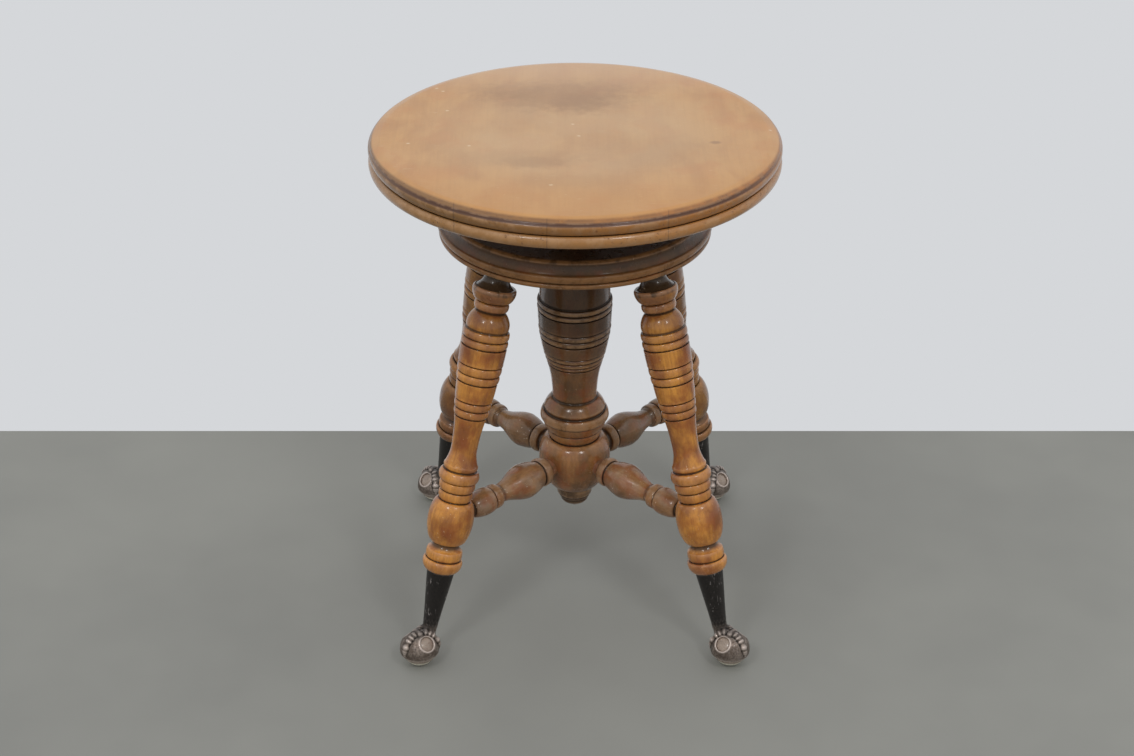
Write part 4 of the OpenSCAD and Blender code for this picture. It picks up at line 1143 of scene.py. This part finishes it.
# Plate, nut and washer under the seat
grid = grid_round_axis(half=45.2, low=0, high=PLATE_T, step=0.45)
mesh = cast_mesh("nut_plate", CAST_IRON, grid, plate_field(grid))
show("nut_plate", "cast", mesh, move(z=DISC_TOP_Z), seed=0.6)

nut_low, nut_high = NUT_BOTTOM_Z + NUT_LEAD, NUT_TOP_Z - NUT_LEAD
nut_turns = int((nut_high - THREAD_GAP - nut_low) / SCREW_PITCH - THREAD[3])
nut_start = SCREW_BOTTOM_Z + SCREW_PITCH * math.ceil((nut_low - SCREW_BOTTOM_Z) / SCREW_PITCH)


def nut_thread(at, j):
    ridge = at if j > 1 else at - 1
    rise = np.clip(min(ridge + 0.6, nut_turns - 1 - ridge) / THREAD_FADE, 0, 1)
    z = nut_start + SCREW_PITCH * (at + THREAD[j]) + (THREAD_GAP if j > 1 else -THREAD_GAP)
    r = screw_root + THREAD_DEPTH * (1 - (j in (0, 3)) * rise * (nut_low < z < nut_high))
    return (r + THREAD_GAP, min(max(z, nut_low), nut_high))


def hexagon(corner_r, angle):
    """Distance from the axis to a hexagon's side, its corners a little rounded."""
    flat = corner_r / HEXAGON / math.cos((angle % (math.pi / 3)) - math.pi / 6)
    return min(flat, corner_r - 0.35)


# The outside's rings: height, the hexagon's corner radius, and how far inside it the ring lies.
# Each has its number as radius at first, and is then drawn out to its hexagon.
NUT_RINGS = (
    (NUT_TOP_Z, NUT_NECK_R, 0.6), (NUT_TOP_Z - 0.6, NUT_NECK_R, 0), (DISC_TOP_Z, NUT_NECK_R, 0),
    (DISC_TOP_Z, NUT_BODY_R, 0.5), (DISC_TOP_Z - 0.5, NUT_BODY_R, 0),
    (NUT_BOTTOM_Z + 0.5, NUT_BODY_R, 0), (NUT_BOTTOM_Z, NUT_BODY_R, 0.5)
)
verts, faces = threaded(
    [(NUT_MOUTH_R + NUT_LEAD, NUT_BOTTOM_Z)], nut_thread,
    [(NUT_MOUTH_R + NUT_LEAD, NUT_TOP_Z), *((n, z) for n, (z, _, _) in enumerate(NUT_RINGS, 1))],
    nut_turns, closed=True
)
reach = np.hypot(verts[:, 0], verts[:, 1])
for n, (_, corner_r, inset) in enumerate(NUT_RINGS, 1):
    for i in np.flatnonzero(np.abs(reach - n) < 0.01):
        angle = math.atan2(verts[i, 1], verts[i, 0])
        verts[i, :2] *= (hexagon(corner_r, angle) - inset) / n
mesh = make_mesh("thread_nut", CAST_IRON, verts, [face[::-1] for face in faces])
mesh.set_sharp_from_angle(angle=SHARP_ANGLE)
show("thread_nut", "cast", mesh, seed=0.8)

inner_r = SCREW_R + THREAD_GAP
outer_r = inner_r + WASHER_W
mesh = make_mesh("thrust_washer", LEATHER, *lathe(
    [(0, inner_r), (0, outer_r), (WASHER_T, outer_r), (WASHER_T, inner_r)],
    closed=True, soft=0.4, sink=0.9, swell=0.3
))
show("thrust_washer", "leather", mesh, move(z=WASHER_Z), "turning_washer")

# Legs, stretchers and feet: one mesh of each kind
leg_mesh = make_mesh("leg", LEG_WOOD, *lathe([
    (-LEG_TENON_L, LEG_R * LEG[0][1]), *turned(LEG, 0, LEG_L, 0, LEG_R),
    (LEG_L, FERRULE_MOUTH_R - PEG_FIT), (LEG_L + FERRULE_DEPTH - PEG_FIT, FERRULE_DEPTH_R - PEG_FIT),
], segments=112))
length = STRETCHER_END - STRETCHER_START
stretcher_mesh = make_mesh("stretcher", STRETCHER_WOOD, *lathe([
    (STRETCHER_START - COLUMN_END_TENON_L, STRETCHER_R * STRETCHER[0][1]),
    *turned(STRETCHER, STRETCHER_START, length, 0, STRETCHER_R),
    (STRETCHER_END + LEG_END_TENON_L, STRETCHER_R * STRETCHER[-1][1]),
]))
grid = Grid(low=(-43, -22, -16), high=(24, 22, 77), step=0.45)
claw_mesh = cast_mesh("claw_foot", CLAW_IRON, grid, claw_field(grid))
steps = np.radians(np.linspace(-90, 90, 61))[1:-1]
verts, faces, _ = lathe(
    [(max(BALL_R * math.sin(a), -BALL_Z), BALL_R * math.cos(a)) for a in steps], segments=72,
    soft=0.2, longest=1.2, sink=0, swell=0
)
ball_mesh = make_mesh("glass_ball", GLASS, verts, faces)

# Twins are turned by these angles from one to the next, and the wood behind is painted darker, as shade
# and grime
LEG_TURN, STRETCHER_TURN, BALL_TURN = 97, 71, 53
LEG_STAIN_AND_SHADE, STRETCHER_STAIN_AND_SHADE = 0.55, 0.35
for n, (corner, azimuth) in enumerate(CORNERS.items()):
    seed = 0.37 + 0.61 * n
    behind = "back" in corner
    at = on_leg(azimuth) @ turn("Z", LEG_TURN * n)
    show(f"leg_{corner}", "turned", leg_mesh, at, "base", seed, LEG_STAIN_AND_SHADE * behind)
    at = on_stretcher(azimuth) @ turn("Z", STRETCHER_TURN * n)
    show(f"stretcher_{corner}", "turned", stretcher_mesh, at, "base", seed,
         STRETCHER_STAIN_AND_SHADE * behind)
    at = on_ball(azimuth)
    show(f"claw_foot_{corner}", "cast", claw_mesh, at, "base", seed)
    at = at @ turn("Z", BALL_TURN * n)
    show(f"glass_ball_{corner}", "pressed", ball_mesh, at, "base", seed)

# Nails: a domed head on a tapering shank, on the side of each socket towards the column
nail_face = LEG_END_R + (ANKLE_R - LEG_END_R) * NAIL_AT_SHARE
head_z = nail_face + (NAIL_HEAD_R * (LEG_END_R - ANKLE_R) / FERRULE_L + PEG_FIT / 2)
verts, faces, _ = lathe([
    (nail_face - NAIL_L, 0.1), (nail_face - NAIL_L + 2.5, NAIL_R), (head_z, NAIL_R),
    (head_z, NAIL_HEAD_R), (head_z + NAIL_HEAD_H * 0.35, NAIL_HEAD_R * 0.98),
    (head_z + NAIL_HEAD_H * 0.75, NAIL_HEAD_R * 0.72), (head_z + NAIL_HEAD_H, NAIL_HEAD_R * 0.30),
], segments=32, soft=0.12, step=0.08, sink=0.9, swell=0.3)
all_verts, all_faces = [], []
for n, azimuth in enumerate(CORNERS.values()):
    place = on_leg(azimuth) @ move(z=LEG_L + FERRULE_L * NAIL_AT_SHARE) @ turn("Y", 90)
    all_verts.append(verts @ np.array(place.to_3x3()).T + np.array(place.translation) / MM)
    all_faces += [[v + n * len(verts) for v in face] for face in faces]
mesh = make_mesh("ferrule_nails", SCREW_STEEL, np.concatenate(all_verts), all_faces)
show("ferrule_nails", "domed", mesh, seed=0.4)


# ---------------------------------------------------------------- stage, light and camera

FLOOR_HALF, WALL_Y, WALL_H = 9, 0.272, 7
WORLD_STRENGTH = 0.84
FOCAL_PX, CAMERA_PLACE, CAMERA_TILT = 2258, (-0.007, -1.794, 1.2104), 60.98


def plane(name, corners, material):
    mesh = bpy.data.meshes.new(name)
    mesh.from_pydata([Vector(c) for c in corners], [], [(0, 1, 2, 3)])
    mesh.materials.append(material)
    sheet = bpy.data.objects.new(name, mesh)
    bpy.context.scene.collection.objects.link(sheet)
    return sheet


paint = Paint("stage_floor", Roughness=0.75, Specular_IOR_Level=0.25)
tone = paint.span(paint.noise(420, 4, 0.6), 0.3, 0.7)
tone = paint.mix(tone, srgb(135, 136, 133), srgb(145, 146, 142))
paint.feed(paint.shader.inputs["Base Color"], tone)
plane("stage_floor", [
    (x * FLOOR_HALF, y * FLOOR_HALF, 0) for x, y in ((-1, -1), (1, -1), (1, 1), (-1, 1))
], paint.material)

# The wall is only a backdrop: it shows from the front and in reflections, and blocks no light
paint = Paint("stage_wall")
paint.tree.nodes.remove(paint.shader)
glow = paint.add("ShaderNodeEmission", {"Color": srgb(213, 215, 218), "Strength": 1.0})
clear = paint.add("ShaderNodeBsdfTransparent")
back = paint.add("ShaderNodeNewGeometry").outputs["Backfacing"]
either = paint.add("ShaderNodeMixShader", {0: back, 1: glow.outputs[0], 2: clear.outputs[0]})
paint.feed(paint.tree.nodes["Material Output"].inputs[0], either.outputs[0])
wall = plane("stage_wall", [
    (x * FLOOR_HALF, WALL_Y, z) for x, z in ((-1, 0), (1, 0), (1, WALL_H), (-1, WALL_H))
], paint.material)
wall.visible_shadow = wall.visible_diffuse = False

world = bpy.data.worlds.new("studio")
world.use_nodes = True
background = world.node_tree.nodes["Background"]
background.inputs["Color"].default_value = srgb(232, 231, 228)
background.inputs["Strength"].default_value = WORLD_STRENGTH
bpy.context.scene.world = world

# Lamps: place, target, size in metres and watts
for name, place, target, size, power in (
    ("lamp_left", (-1.05, -1.95, 2.4), (0, 0, 0.25), (0.4, 0.5), 11),
    ("lamp_right", (1.05, -1.95, 2.4), (0, 0, 0.25), (0.4, 0.5), 11),
    ("lamp_over", (0, 0.2, 3.0), (0, 0.2, 0), (5, 5), 24),
):
    light = bpy.data.lights.new(name, "AREA")
    light.shape, light.size, light.size_y = "RECTANGLE", *size
    light.energy = power
    holder = bpy.data.objects.new(name, light)
    bpy.context.scene.collection.objects.link(holder)
    holder.location = place
    holder.rotation_euler = (Vector(target) - Vector(place)).to_track_quat("-Z", "Y").to_euler()

camera = bpy.data.objects.new("camera", bpy.data.cameras.new("camera"))
bpy.context.scene.collection.objects.link(camera)
camera.data.sensor_width = 36
camera.data.lens = FOCAL_PX * camera.data.sensor_width / IMAGE_SIZE[0]
camera.location = CAMERA_PLACE
camera.rotation_euler = (math.radians(CAMERA_TILT), 0, 0)
bpy.context.scene.camera = camera
bpy.context.scene.view_settings.view_transform = "Standard"

bpy.context.view_layer.update()
